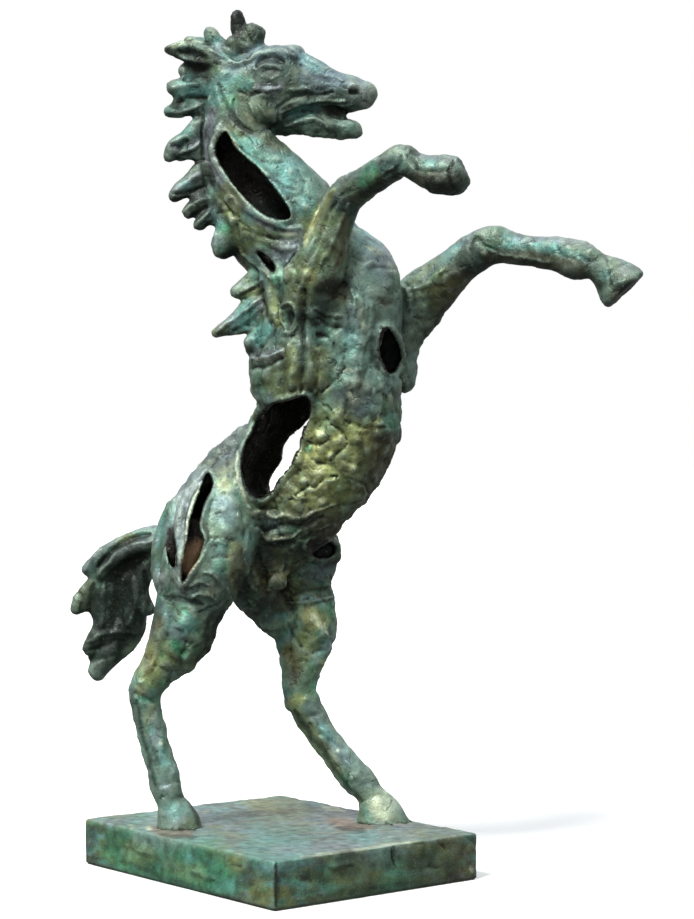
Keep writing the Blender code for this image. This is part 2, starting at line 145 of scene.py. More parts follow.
NEAR_SHOULDER = [
    (-2, 552, -78, 18, 14), (10, 516, -84, 30, 16), (6, 466, -80, 40, 18), (2, 432, -72, 34, 18),
]
FAR_SHOULDER = [(46, 552, -20, 26, 16), (82, 538, -14, 30, 20), (116, 510, -24, 28, 22)]
NEAR_FORE = [
    (28, 522, -96, 24, 20), (37, 548, -104, 26, 23), (46, 570, -110, 23, 21), (57, 601, -118, 17.5, 16),
    (67, 627, -126, 17, 16), (93, 645, -160, 14.5, 12.5), (122, 664, -195, 15.5, 14),
    (136, 658, -205, 12, 11),
]
NEAR_FORE_HOOF = [
    (140, 657, -207, 12, 12), (158, 651, -213, 17, 16), (174, 650, -219, 18, 18), (186, 656, -222, 13, 14),
]
FAR_FORE = [
    (121, 452, -30, 18, 19), (121, 486, -32, 21, 25), (138, 519, -38, 27, 26), (160, 541, -50, 24, 22),
    (184, 563, -66, 19, 17), (214, 580, -80, 19, 16), (243, 575, -95, 14.5, 12), (275, 572, -112, 16, 12),
    (301, 565, -126, 19, 14), (319, 561, -132, 12, 11),
]
FAR_FORE_HOOF = [(320, 558, -133, 13, 12), (334, 549, -137, 19, 17), (348, 535, -140, 25, 20)]
FAR_HAUNCH = [(-40, 350, 38, 30, 32), (-32, 312, 54, 44, 36), (-6, 272, 54, 42, 34)]
NEAR_HIND = [
    (-40, 344, -25, 28, 40), (-55, 306, -42, 42, 42), (-73, 261, -50, 42, 40), (-87, 221, -47, 34, 33),
    (-99, 186, -41, 30, 26), (-119, 157, -36, 19, 18), (-132, 136, -33, 16, 14), (-131, 115, -31, 15, 12),
    (-123, 81, -26, 14.5, 11), (-115, 52, -21, 15.5, 12), (-111, 35, -19, 15, 13), (-107, 23, -18, 13, 12),
]
NEAR_HIND_HOOF = [(-107, 24, -18, 13, 13), (-101, 8, -17, 20, 18), (-98, -10, -16, 23, 21)]
FAR_HIND = [
    (8, 306, 28, 36, 34), (23, 273, 36, 40, 36), (25, 238, 38, 28, 28), (27, 203, 34, 33, 27),
    (26, 180, 30, 27, 22), (24, 157, 25, 20, 16), (22, 133, 22, 17, 14), (35, 105, 21, 15.5, 12),
    (58, 72, 20, 14.5, 11), (81, 45, 19, 16.5, 13), (93, 32, 18, 13, 11.5),
]
FAR_HIND_HOOF = [(93, 30, 18, 14, 12.5), (101, 14, 18, 22, 17), (108, -10, 18, 30, 22)]
INNER_THIGH = [(-34, 262, -8, 28, 22), (-18, 228, 12, 22, 20), (8, 202, 26, 18, 18)]
FAR_HOCK = [(18, 140, 22, 10, 9), (14, 122, 22, 8, 8)]
SHEATH = [(2, 266, -14, 9, 9), (-2, 244, -24, 11, 10)]
HAMSTRINGS = {
    "outer": [
        (-104, 318, -6, 8, 9), (-113, 296, -10, 8, 9), (-118, 272, -16, 8, 10), (-118, 250, -24, 8, 10),
        (-112, 230, -32, 7, 8),
    ],
    "backing": [(-98, 318, -14, 12, 12), (-104, 280, -24, 13, 12), (-104, 244, -30, 12, 12)],
    "middle": [(-74, 352, -46, 7, 7), (-92, 316, -64, 8, 9), (-98, 282, -74, 8, 9), (-100, 236, -72, 7, 8)],
}

# Tufts on the poll and the crown of the head
TUFTS = [
    [(-56, 776, -40, 9, 8), (-65, 788, -38, 7.5, 7), (-68, 792, -37, 6.5, 6)],
    [(-34, 776, -44, 9, 8), (-38, 792, -44, 7, 7), (-40, 808, -44, 6.5, 6.5)],
    [(-28, 778, -48, 12, 9), (-23, 790, -48, 11, 10)],
    [(-48, 774, -50, 8, 7), (-42, 780, -50, 7.5, 7), (-38, 781, -50, 6, 6)],
    [(-58, 772, -34, 9, 8), (-82, 779, -28, 6, 6)],
]

# Mane locks of the near row
MANE = [
    [(-74, 752, -38, 12, 8), (-87, 754, -40, 10, 7), (-92, 752, -41, 8, 6)],
    [(-70, 736, -42, 13, 8), (-86, 736, -44, 12, 6.5), (-99, 737, -46, 10, 6), (-105, 738, -46, 8, 5.5)],
    [(-94, 732, -44, 7, 5), (-100, 720, -44, 6, 5)],
    [(-70, 718, -44, 9, 6), (-87, 716, -44, 8.5, 5.5), (-102, 714, -42, 7.5, 5), (-109, 713, -41, 6, 5)],
    [
        (-68, 702, -46, 13, 7), (-81, 694, -46, 11, 6.5), (-91, 686, -48, 8.5, 6), (-102, 680, -50, 7.5, 6),
        (-107, 672, -50, 7, 5.5), (-108, 667, -50, 6, 5),
    ],
    [(-70, 676, -46, 13, 6), (-88, 673, -46, 10, 5.5), (-97, 668, -46, 6, 5)],
    [(-68, 658, -48, 14, 8), (-83, 644, -50, 11, 7), (-97, 634, -52, 9, 7), (-103, 629, -53, 7, 6)],
    [(-66, 630, -50, 13, 8), (-78, 621, -52, 10, 7), (-89, 613, -53, 7, 6)],
    [(-60, 614, -52, 10, 7), (-71, 606, -54, 8, 6), (-78, 600, -54, 5.5, 5)],
    [(-46, 600, -56, 15, 9), (-53, 586, -58, 12, 9), (-53, 574, -58, 11, 8)],
    [(-8, 553, -62, 14, 8), (-24, 543, -63, 11, 7), (-37, 535, -65, 8.5, 6), (-43, 533, -66, 6.5, 5)],
    [(0, 508, -68, 10, 6.5), (-12, 493, -69, 13, 6.5), (-22, 485, -71, 10, 6), (-29, 482, -72, 7, 5)],
    [(2, 488, -66, 9, 5.5), (-8, 475, -66, 11, 5.5), (-16, 469, -66, 8.5, 5), (-21, 467, -66, 6, 4.5)],
]

# The far row behind it: its share of a lock's length, how far behind, how much thinner, and where it ends
FAR_LOCK_LENGTH, FAR_LOCK_AWAY, FAR_LOCK_TAPER, CREST_END = 0.7, 14, (0.5, 0.3), -40

# The broad locks that lie on the shoulder
SHOULDER_LOCKS = [
    [(-2, 524, -66, 22, 10), (-22, 512, -66, 19, 8), (-42, 501, -64, 11, 6), (-62, 492, -62, 5, 4.5)],
    [(-2, 498, -66, 20, 10), (-16, 486, -65, 14, 8), (-28, 476, -64, 6, 5)],
]

# Tail strands
TAIL = [
    [
        (-104, 290, 40, 9, 9), (-122, 291, 46, 9, 9), (-143, 287, 52, 8, 9), (-167, 275, 60, 8, 8),
        (-184, 261, 66, 8, 7), (-190, 255, 68, 7, 6),
    ],
    [
        (-108, 284, 30, 8, 8), (-128, 281, 36, 7, 8), (-149, 274, 44, 6, 7), (-168, 261, 50, 6, 6),
        (-176, 252, 54, 5, 5),
    ],
    [
        (-112, 280, 40, 14, 8), (-140, 262, 54, 20, 8), (-160, 232, 64, 32, 8), (-158, 200, 70, 28, 7),
        (-172, 174, 72, 20, 7), (-178, 158, 74, 11, 7),
    ],
    [(-172, 252, 62, 9, 7), (-188, 232, 66, 12, 7), (-201, 217, 68, 8, 7)],
    [(-168, 210, 66, 10, 8), (-184, 184, 66, 9, 8), (-189, 177, 66, 7, 7)],
    [(-126, 268, 46, 9, 9), (-138, 238, 52, 10, 9), (-131, 217, 50, 8.5, 9)],
    [(-140, 236, 56, 10, 9), (-143, 208, 58, 11, 8), (-143, 198, 60, 8.5, 7)],
    [(-160, 200, 66, 10, 8), (-170, 172, 66, 10, 8), (-181, 153, 68, 9, 8)],
]

# Features of the face, for one side: right, up, out from the middle plane, half width and half thickness
FACE = {
    "eyeball": [(-8, 755, 16, 7, 7), (-3, 755, 16, 7, 7)],
    "brow": [
        (-26, 761, 15, 4, 4), (-15, 767, 15.5, 4.5, 4), (-2, 769, 14.5, 4.5, 4), (11, 769, 13.5, 4, 4),
        (20, 762, 14, 3, 3),
    ],
    "frontal": [(4, 768, 6, 10, 9), (18, 770, 6, 10, 9)],
    "lower_lid": [(-18, 747, 20, 3, 3), (-6, 743, 21, 3, 3), (8, 747, 20, 3, 3)],
    "cheek": [(2, 717, 20, 3.5, 3), (23, 726, 17, 4, 3), (50, 733, 12, 3, 3)],
    "jowl": [(-24, 722, 17, 12, 8), (-12, 714, 19, 13, 7), (4, 712, 16, 9, 6)],
    "nostril": [(70, 738, 10, 6, 5), (80, 738, 10, 6, 5)],
    "upper_lip": [(66, 722, 8, 5, 5), (86, 721, 5, 5, 5)],
}
NOSTRIL_PIT = [(76, 733, 15, 3.2, 5), (82, 731, 14, 3.2, 5)]
NEAR_EAR = [
    (-52, 762, -9, 8, 7), (-68, 768, -13, 10, 7), (-86, 773, -16, 11, 6), (-99, 775, -17, 7, 5),
    (-107, 775, -17, 3, 3),
]
NEAR_EAR_PIT = [(-70, 765, -23, 7, 5), (-84, 769, -25, 9.5, 6), (-97, 772, -24, 6, 5)]
FAR_EAR = [(-50, 768, 9, 7, 6), (-66, 778, 13, 7, 5.5), (-83, 783, 16, 5.5, 5), (-92, 784, 17, 5, 4.5)]
# The web of lip and tongue that closes the mouth behind the teeth line
TONGUE = [(22, 712, 0, 10, 10), (45, 712, 0, 12, 7), (65, 711, 0, 9, 5)]

# Openings in the skin: the right and up of each closed outline, and how far away the cut starts and ends
WINDOWS = {
    "neck": {
        "outline": [
            (-53, 694), (-63, 676), (-55, 656), (-37, 632), (-20, 615), (-4, 606), (11, 606), (12, 616),
            (-3, 638), (-20, 658), (-37, 672), (-47, 687),
        ],
        "away": (-140, -50),
    },
    "loin_near": {
        "outline": [
            (22, 430), (31, 428), (33, 414), (25, 386), (17, 363), (6, 350), (-5, 333), (-14, 326),
            (-24, 327), (-33, 337), (-37, 356), (-35, 376), (-27, 391), (-21, 405), (-9, 421), (6, 425),
        ],
        "away": (-170, -20),
    },
    "loin_far": {
        "outline": [
            (27, 404), (8, 384), (3, 366), (-6, 354), (-10, 340), (-8, 330), (6, 320), (34, 330), (54, 352),
            (64, 380), (62, 408), (46, 418),
        ],
        "away": (-20, 110),
    },
    "elbow": {
        "outline": [
            (105, 498), (112, 497), (121, 482), (123, 466), (117, 453), (108, 453), (102, 466), (101, 484),
        ],
        "away": (-100, -30),
    },
    "rump": {
        "outline": [
            (-70, 354), (-64, 343), (-69, 329), (-75, 314), (-78, 298), (-73, 286), (-78, 268), (-88, 252),
            (-96, 240), (-97, 258), (-91, 283), (-88, 305), (-79, 332),
        ],
        "away": (-140, -50),
    },
    "buttock": {
        "outline": [
            (-107, 304), (-111, 290), (-111, 273), (-105, 256), (-100, 264), (-101, 280), (-104, 296),
        ],
        "away": (-90, -40),
    },
    "withers": {
        "outline": [(-21, 575), (-11, 570), (-3, 561), (-3, 552), (-10, 557), (-18, 568)],
        "away": (-140, -70),
    },
    "far_thigh": {
        "outline": [(30, 284), (44, 288), (56, 282), (57, 272), (46, 266), (31, 272)],
        "away": (-20, 22),
    },
}
HOLLOWS = {
    "neck": (NECK[:-1], NECK_LEFT),
    "trunk": (TRUNK[1:6], TRUNK_LEFT),
    "haunch": ([(-56, 330, -34, 28, 36), (-74, 290, -44, 34, 40), (-84, 252, -46, 30, 36)], AWAY),
}
# The radius of the roll of metal round an opening, half of which the opening cuts away
RIMS = {"neck": 4.5, "loin_near": 5, "loin_far": 5.5, "elbow": 4.5, "rump": 4.5, "far_thigh": 5}

# The sheet for strokes and colours: the sighting grid, counted from its top left corner
SHEET_LEFT, SHEET_TOP = -277, 826

# Relief of the skin: sizes and heights in squares
PAT, PAT_HEIGHT = 16, 2.2
SMALL_PAT, SMALL_PAT_HEIGHT = 8, 0.8
GRIT, GRIT_HEIGHT = 9, 0.6
LUMP, LUMP_HEIGHT = 26, 1.7

# A pat, in parts of its size or height: how it wavers, its dome, how unlike its neighbours it is, its joint
WAVER, WAVER_SIZE = 0.3, 1.2
PAT_TOP, PAT_FALL = 1.2, 0.5
PAT_UNEVENNESS, PAT_TILT = 1.6, 0.55
PAT_JOINT, PAT_CREASE = 0.4, 0.3

# Strokes: what grooves and ridges are multiplied by, the bank that a groove pushes up at its side, how the
# ends taper, how far off its line a place is before it's measured, and how the tool's pressure changes
GROOVE_WIDTH, GROOVE_DEPTH, RIDGE_HEIGHT = 1.35, 0.7, 1.35
PUSHED_UP, BANK, BANK_WIDTH = 0.1, 1.3, 0.35
TAPER, FAR_OFF = 0.6, 9.0
PRESSURE_CHANGE, PRESSURE_SIZE = 0.5, 10
# Where a patch of colour starts to fade and where it ends, in its half widths
PAINT_EDGE = (0.35, 1.2)
# The hand's shaking: how far, over how many squares, and in how many octaves
SHAKES = [(1.8, 16, 2), (0.7, 5, 1)]
# How squarely the skin faces the eye where a stroke has its full height, where it counts as seen at all, and
# the strokes' share on the far side
FULL_FACING, EDGE_ON, BEHIND_SHARE = 0.3, 0.02, 0.7

# Relief of the slab, in squares: swells, dents, pats and mounds of crumbs round the hooves
SWELL, SWELL_HEIGHT = 60, 0.9
DENT, DENT_HEIGHT = 14, 0.5
SLAB_PAT_HEIGHT, SLAB_LET_DOWN = 0.6, 0.6
CRUMB, CRUMB_BED, CRUMB_HEIGHT = 5, 0.7, 1.2
MOUND_HEIGHT, MOUND_REACH, MOUND_SLOPE = 5, 34, 1.5
# Between which slopes the slab's top begins, and over how many metres above the underside relief sets in
SLAB_TOP, SLAB_FOOT = (0.3, 0.8), 0.006

# Where in the noise each use of it is read
WAVER_PLACES, SHAKE_PLACES = (2, 6, 9), (3, 8)
PRESSURE_PLACE, LUMP_PLACE, CRUMB_PLACE = 17.0, 5.0, 71.0
MOTTLE_PLACE, EDGE_WEAR_AND_HIGHLIGHT_PLACE = 61.0, 51.0

# Colours as the eye reads them, from 0 to 255
PALETTE = {
    "dark green": (76, 98, 78),
    "grey green": (102, 124, 114),
    "slab green": (80, 98, 78),
    "bronze brown": (88, 78, 52),
    "olive": (116, 124, 74),
    "gold olive": (158, 158, 100),
    "teal": (86, 142, 134),
    "pale teal": (132, 178, 168),
    "emerald": (56, 136, 98),
    "violet grey": (128, 134, 142),
    "blue grey": (102, 122, 132),
    "cream green": (186, 194, 164),
    "black green": (24, 30, 26),
    # Dark patina of the creases, laid on also as painted shade
    "crease patina and shade": (26, 28, 20),
    # Painted shade inside the hollow and its openings
    "inside": (34, 29, 26),
    # Worn edges, lightened also as painted highlight
    "rubbed edge": (152, 172, 156),
    "deep green": (50, 66, 60),
    # Painted shade of the undersides
    "underside shade brown": (50, 46, 34),
    "rust": (168, 134, 106),
    "soil": (132, 108, 92),
}

# Clouds of colour over everything: name, share, size in squares, octaves, where in the noise, and its span
CLOUDS = [
    ("black green", 0.5, 34, 3, 3.0, 0.0, 0.6),
    ("olive", 0.6, 46, 3, 11.0, -0.1, 0.5),
    ("teal", 0.55, 30, 4, 23.0, 0.05, 0.5),
    ("emerald", 0.35, 22, 3, 31.0, 0.2, 0.6),
    ("blue grey", 0.5, 26, 3, 43.0, 0.05, 0.6),
]
# A painted sheen of the sky on what faces up and painted shade on what faces down: how strong, and between
# which slopes they come in
PAINTED_SKY_SHEEN, FACES_UP = 0.35, (0.1, 0.9)
PAINTED_UNDERSIDE_SHADE, FACES_DOWN = 0.75, (0.0, 0.8)
# Light and dark mottling
MOTTLE, MOTTLE_SIZE, MOTTLE_LIMITS = 0.6, 9, (0.3, 2)
# Creases and edges, fine and broad: how strong, and the factors on the piece's shallow and deep creases.
# Creases are darkened as patina in the hollows and as painted shade; edges are lightened as wear and as
# painted highlight
FINE_CREASE, BROAD_CREASE, MOST_SUNK = (0.65, 1.5, 1.3), (0.5, 2.5, 3), 0.95
FINE_EDGE, BROAD_EDGE, MOST_PROUD = (0.4, 1, 1), (0.25, 1, 2.2), 0.6
# Where edges are worn and painted with highlight: over how many squares, and between which levels of the
# noise
EDGE_WEAR_AND_HIGHLIGHT_SIZE, EDGE_WEAR_AND_HIGHLIGHT_SPAN = 12, (-0.1, 0.3)
# Painted shade inside the hollow: how far rays look for the sky, in metres, how widely they spread, and how
# little sky brings in the dark inside colour
RAY_LENGTH, RAY_SPREAD, INSIDE_SHADE_SPAN = 0.16, 0.95, (0.02, 0.5)
# How squarely a surface faces the eye that is seen through an opening and painted with the dark inside
# colour as shade
FACES_EYE = 0.1

# Each piece's shallow and deep creases in squares, how much its edges are worn and painted with highlight,
# and its metal: how rough, how metallic and how much nicked it is
HORSE_CREASES, HORSE_EDGE_WEAR_AND_HIGHLIGHT, HORSE_METAL = (0.12, 0.75), 1.0, (0.45, 0.4, 0.55)
SLAB_CREASES, SLAB_EDGE_WEAR_AND_HIGHLIGHT, SLAB_METAL = (0.08, 0.5), 0.3, (0.5, 0.25, 0)
# How many times shorter in height than in width the slab's clouds are
SLAB_DRAWN_OUT = 3

# Specks: colour, how fine, between which levels of the noise they come in, and how strong
SPECKLES = [
    ("black green", 260, 0.55, 0.72, 0.55),
    ("pale teal", 170, 0.6, 0.75, 0.45),
    ("cream green", 420, 0.62, 0.72, 0.4),
]
# Nicks: how fine their network is, how far it is bent, how wide they are, and the field that they come in
NICK_SCALE, NICK_BEND, NICK_WIDTH, NICK_FIELD, NICK_SHARE = 30, 0.05, 0.07, 48, (0.55, 0.62)
# Grain: how fine, in how much detail, how rough, how strong and how deep in metres
GRAIN, BUMP, BUMP_DEPTH = (240, 8.0, 0.65), 0.55, 0.0022
# Glossier and duller places: how fine, between which levels of the noise, and how much
GLOSS_SCALE, GLOSS_SPAN, GLOSSIER, DULLER = 90, (0.35, 0.65), 0.08, 0.14
# Where a colour mixing node has its two colours and its result
MIX_A, MIX_B, MIX_RESULT = 6, 7, 2

# Strokes of the modelling tool: height in squares (a groove below 0), half width, and marks on the sheet
STROKES = {
    "ears and tufts": [
        (1.4, 2.6, (168, 51), (178, 44), (190, 41), (200, 43), (210, 50), (222, 58), (235, 65), (247, 62)),
        (-2.6, 6, (180, 53), (194, 55), (208, 60)), (-1.8, 2.2, (228, 33), (236, 40), (247, 44)),
        (-1.8, 2.2, (243, 24), (245, 33), (252, 44)), (-1.8, 2.4, (214, 38), (222, 44), (232, 50)),
        (-1.4, 3.0, (216, 26), (222, 36)), (1.2, 3.5, (228, 44), (237, 41)),
        (-1.5, 2.5, (215, 64), (230, 70), (244, 68)),
    ],
    "eye and forehead": [
        (1.9, 4, (246, 64), (256, 57), (270, 52), (284, 53), (293, 59)), (-1.6, 6, (298, 52)),
        (-3.6, 3.0, (256, 68), (263, 61), (274, 59), (284, 63)),
        (0.7, 2.2, (259, 71), (266, 66), (275, 66), (283, 71)),
        (-2.0, 1.4, (263, 73), (271, 70), (279, 73)), (0.7, 2.0, (261, 77), (270, 79), (280, 76)),
        (-1.4, 3, (262, 86), (276, 86)), (-1.6, 4, (250, 72), (252, 80)),
        (1.2, 3, (252, 88), (266, 91), (280, 88)), (-1.4, 4, (296, 60), (300, 70), (300, 82)),
        (1.4, 3.5, (302, 55), (318, 66), (332, 74)), (-1.4, 3, (300, 66), (315, 76), (330, 83)),
        (-1.2, 2.4, (306, 86), (318, 90), (330, 88)),
    ],
    "cheek and jaw": [
        (-2.2, 2.4, (238, 92), (250, 96), (262, 91), (268, 96)),
        (-3.2, 3.4, (277, 110), (287, 102), (300, 98), (315, 96), (332, 93)),
        (1.8, 3.2, (281, 114), (298, 106), (318, 102), (344, 101)),
        (-1.4, 2, (283, 120), (298, 114), (314, 114)),
        (1.5, 3, (285, 127), (302, 122), (318, 121), (328, 129)),
        (1.2, 3, (356, 138), (344, 140), (326, 136), (302, 133), (282, 136)), (1.4, 16, (255, 112)),
        (-1.6, 2.4, (234, 100), (234, 116), (243, 128), (260, 133), (275, 126), (279, 112)),
        (0.9, 1.8, (249, 104), (254, 117)), (0.9, 1.8, (259, 106), (266, 118)),
        (-2.6, 3.0, (218, 86), (222, 100), (231, 115), (242, 127), (252, 133)),
        (-1.2, 2, (300, 84), (312, 90), (324, 90)), (1.2, 3, (286, 90), (300, 91), (316, 88)),
    ],
    "muzzle": [
        (-1.4, 3, (356, 92)), (0.5, 2.4, (347, 93), (350, 87), (358, 86), (363, 92), (361, 100)),
        (1.0, 2.6, (326, 77), (336, 79), (344, 84)), (-4.2, 6.5, (329, 115), (338, 115), (348, 117)),
        (1.0, 2.4, (320, 106), (336, 105), (352, 106)), (-1.2, 2, (362, 102), (368, 104), (372, 103)),
        (1.0, 2.6, (330, 120), (342, 121), (354, 126)),
    ],
    "neck": [
        (1.6, 5, (221, 126), (212, 143), (212, 163), (222, 184), (238, 203), (260, 218), (284, 227),
         (302, 229)),
        (-1.4, 2, (204, 106), (203, 130), (203, 155), (208, 176), (220, 200), (238, 220), (262, 236),
         (286, 244)),
        (1.2, 4, (210, 98), (206, 118), (205, 138)), (-1.6, 1.6, (203, 160), (213, 163)),
        (-1.2, 1.4, (205, 176), (216, 178)), (-1.6, 1.8, (256, 175), (272, 180), (284, 188), (297, 191)),
        (-1.8, 1.8, (284, 201), (299, 197), (311, 200)),
        (-1.4, 1.8, (240, 148), (255, 158), (268, 164), (282, 164)),
        (-1.2, 1.6, (298, 170), (304, 184), (302, 196)), (1.2, 7, (258, 150)), (1.0, 8, (292, 172)),
        (1.2, 9, (303, 210)), (1.0, 6, (276, 160)),
        (-1.8, 2.4, (214, 182), (224, 204), (236, 224), (240, 238)), (1.4, 7, (226, 200)),
        (1.2, 8, (232, 220)), (-1.5, 2, (218, 214), (228, 212), (240, 218)),
        (-1.6, 2.2, (244, 230), (262, 238), (282, 240), (300, 236)),
        (1.3, 5, (272, 246), (285, 250), (296, 246)),
    ],
    "mane": [
        (-2.4, 2.4, (206, 78), (194, 81), (182, 80)), (1.4, 5, (198, 86), (184, 87), (172, 88)),
        (-2.0, 2.6, (206, 99), (194, 99), (186, 98)), (-3.6, 3.4, (181, 102)),
        (1.2, 3, (200, 106), (182, 112), (166, 113)), (-2.4, 3.4, (202, 118), (192, 117), (184, 117)),
        (-3.4, 4, (172, 147), (179, 147), (188, 142)), (1.6, 2.6, (200, 142), (190, 151), (176, 156)),
        (-2.6, 2.2, (204, 160), (190, 163), (176, 160)), (1.4, 5, (200, 174), (186, 184), (174, 191)),
        (-2.8, 2.6, (204, 187), (190, 193), (172, 195)), (1.4, 2.6, (206, 199), (194, 205), (183, 213)),
        (-2.6, 3.4, (207, 208), (198, 213), (190, 217)), (1.2, 2.2, (210, 214), (202, 221), (195, 228)),
        (-2.0, 2, (212, 224), (205, 228)), (1.4, 3, (216, 232), (216, 246), (217, 257)),
        (-3.0, 6, (236, 252), (226, 256)), (-1.8, 2, (203, 110), (202, 140), (202, 165), (205, 195)),
        (1.4, 3, (262, 280), (250, 288), (236, 294)), (-2.2, 2.4, (266, 290), (254, 297), (242, 300)),
        (1.6, 3.6, (262, 300), (244, 312), (226, 326), (216, 333)),
        (-2.0, 3, (262, 312), (250, 322), (234, 332)), (1.2, 3, (268, 318), (262, 334), (252, 342)),
        (-2.4, 2.4, (274, 330), (268, 342), (258, 348)), (2.4, 3.4, (284, 350), (270, 357), (253, 359)),
        (-2.4, 2.6, (282, 358), (268, 366), (254, 368)),
    ],
    "withers and shoulder": [
        (1.3, 2.4, (238, 250), (252, 262), (264, 272), (272, 280)),
        (2.6, 6, (270, 278), (271, 300), (277, 324)), (-2.2, 2.2, (262, 286), (264, 305), (270, 326)),
        (-2.0, 2.2, (279, 282), (277, 296), (282, 304)),
        (1.9, 2.8, (281, 320), (281, 308), (288, 303), (295, 309), (297, 319), (294, 330), (287, 333),
         (281, 320)),
        (-3.0, 4.4, (289, 313), (289, 324)), (-2.0, 2.6, (282, 336), (289, 339), (294, 336)),
        (-3.2, 4, (302, 290), (304, 315), (302, 342)), (-2.8, 4.4, (303, 345), (304, 366), (301, 392)),
        (2.8, 7, (290, 344), (294, 366), (290, 390)), (2.2, 9, (318, 350), (321, 372), (314, 392)),
        (-2.0, 6, (318, 300), (322, 318)), (1.6, 9, (268, 376)),
        (-1.8, 4, (280, 354), (283, 372), (280, 390)), (1.2, 4, (254, 372), (256, 392)),
        (2.2, 7.5, (305, 276)), (-1.8, 2.2, (290, 262), (296, 272), (296, 288)),
        (1.2, 3.2, (296, 248), (290, 262), (286, 280)), (-2.6, 2.6, (318, 319), (328, 326), (341, 328)),
        (-2.4, 2.8, (316, 335), (327, 337)), (1.4, 3.4, (314, 306), (326, 313), (340, 316)),
        (-1.6, 3, (334, 342), (334, 362), (328, 384)), (-2.2, 2.6, (323, 406), (331, 411)),
    ],
    "near foreleg": [
        (1.6, 3, (303, 246), (313, 224), (323, 205), (334, 190)),
        (-2.2, 2.8, (307, 262), (317, 240), (327, 218), (337, 202)),
        (1.4, 4, (320, 266), (331, 244), (341, 220), (350, 203)),
        (-1.6, 2.6, (333, 272), (342, 250), (349, 226), (356, 208)),
        (-2.0, 6, (316, 296), (330, 292), (344, 284)), (1.2, 3, (333, 186), (358, 171), (384, 158)),
        (-1.8, 5, (296, 258), (300, 264), (298, 282)), (2.0, 6, (288, 262), (287, 280)),
        (-1.6, 2.6, (342, 196), (366, 183), (390, 171)), (1.0, 3, (352, 190), (372, 180), (392, 168)),
        (1.6, 6, (409, 150)), (-2.2, 2.8, (399, 158), (396, 170), (384, 176)),
        (-1.8, 2.4, (405, 158), (414, 164), (418, 172)), (1.1, 3.4, (420, 158), (438, 157), (456, 161)),
        (-1.6, 2.4, (418, 170), (432, 172), (448, 170)), (-2.4, 2.2, (452, 162), (448, 174), (451, 188)),
        (1.0, 5, (438, 183)),
    ],
    "chest": [
        (-2.0, 1.8, (371, 268), (382, 269), (396, 270)), (1.3, 2.4, (352, 290), (354, 303), (352, 317)),
        (-1.6, 4, (378, 299), (386, 303), (394, 304)), (-1.6, 1.8, (366, 244), (374, 252), (378, 262)),
        (1.2, 8, (368, 262)), (1.1, 7, (388, 284)), (-1.4, 1.8, (350, 256), (362, 262), (372, 258)),
        (-1.5, 2, (345, 296), (345, 312), (349, 330)), (-1.4, 1.8, (362, 296), (364, 312), (360, 330)),
        (1.1, 4, (370, 306), (372, 322), (368, 340)), (2.2, 13, (356, 300), (358, 340), (354, 384)),
        (-1.4, 3, (345, 345), (344, 366), (339, 386)), (-1.4, 3, (371, 345), (371, 370), (368, 396)),
        (1.1, 2.4, (376, 378), (380, 398), (378, 420)), (-1.4, 2.4, (346, 400), (343, 412), (343, 426)),
        (-2.2, 2, (344, 369), (331, 384), (321, 392)),
        (1.3, 2.8, (379, 333), (376, 350), (379, 367), (388, 377)),
        (-1.6, 2, (384, 384), (392, 396), (394, 412)), (1.2, 3, (402, 352), (406, 366), (402, 382)),
    ],
    "far foreleg": [
        (-2.0, 3, (404, 284), (411, 293), (413, 306)), (1.8, 5, (407, 290)),
        (-1.7, 2.4, (400, 302), (403, 320), (404, 336)), (1.5, 4, (413, 290), (427, 284), (442, 272)),
        (0.8, 5, (424, 288), (447, 277), (470, 266)), (1.3, 5, (424, 308)),
        (-1.5, 2.2, (414, 318), (428, 320), (438, 316)),
        (-2.2, 2.4, (470, 252), (473, 244), (477, 238), (484, 246), (496, 251)), (1.4, 8, (496, 233)),
        (1.3, 4.4, (484, 254)), (1.2, 3, (500, 254), (522, 258), (548, 262)), (1.1, 4, (530, 246)),
        (1.0, 4, (508, 240)), (-1.6, 2.2, (556, 246), (560, 254), (574, 260)), (1.1, 4, (568, 248)),
        (1.6, 4.4, (588, 252)), (-1.7, 2.4, (578, 256), (590, 262), (600, 256), (607, 262)),
        (-1.4, 2, (603, 280), (613, 270), (626, 265)), (-1.4, 1.8, (612, 288), (609, 274), (606, 262)),
        (1.1, 2, (614, 285), (630, 281), (643, 276)), (-1.6, 3, (612, 292), (624, 290), (636, 284)),
    ],
    "belly": [
        (2.0, 6.5, (340, 440)), (2.0, 6, (320, 438)), (2.0, 7.5, (315, 474)), (1.7, 6, (304, 482)),
        (1.8, 5.5, (308, 448)), (1.8, 6, (331, 456)), (1.8, 7, (353, 468)), (1.6, 6, (322, 502)),
        (1.6, 6, (339, 489)), (1.5, 7, (366, 452)), (1.5, 6, (373, 478)), (1.6, 5, (300, 462)),
        (1.4, 6, (356, 440)), (1.4, 6, (334, 420)), (1.4, 7, (352, 496)),
        (-3.0, 2.4, (297, 496), (307, 486), (314, 487), (325, 478), (337, 477)),
        (-2.2, 2, (305, 440), (319, 445), (328, 437)), (-2.2, 2, (330, 424), (340, 432), (346, 441)),
        (-2.2, 2, (329, 462), (340, 452), (346, 444)), (-2.2, 2.4, (344, 421), (364, 428), (383, 427)),
        (-1.8, 2, (346, 478), (358, 482), (370, 494)), (-1.8, 2, (310, 458), (318, 464), (330, 466)),
        (1.7, 2.6, (276, 519), (287, 516), (300, 519), (314, 511), (334, 504)),
        (-2.8, 3, (254, 525), (268, 530), (286, 524), (300, 527), (322, 516)),
        (2.2, 3, (247, 506), (251, 514), (262, 513), (275, 518)), (-1.6, 2, (256, 520), (270, 521)),
        (1.8, 3, (259, 533), (271, 539), (287, 538), (300, 530)),
        (-2.2, 3, (262, 545), (278, 547), (294, 542)), (-1.6, 2.4, (300, 538), (316, 532), (332, 524)),
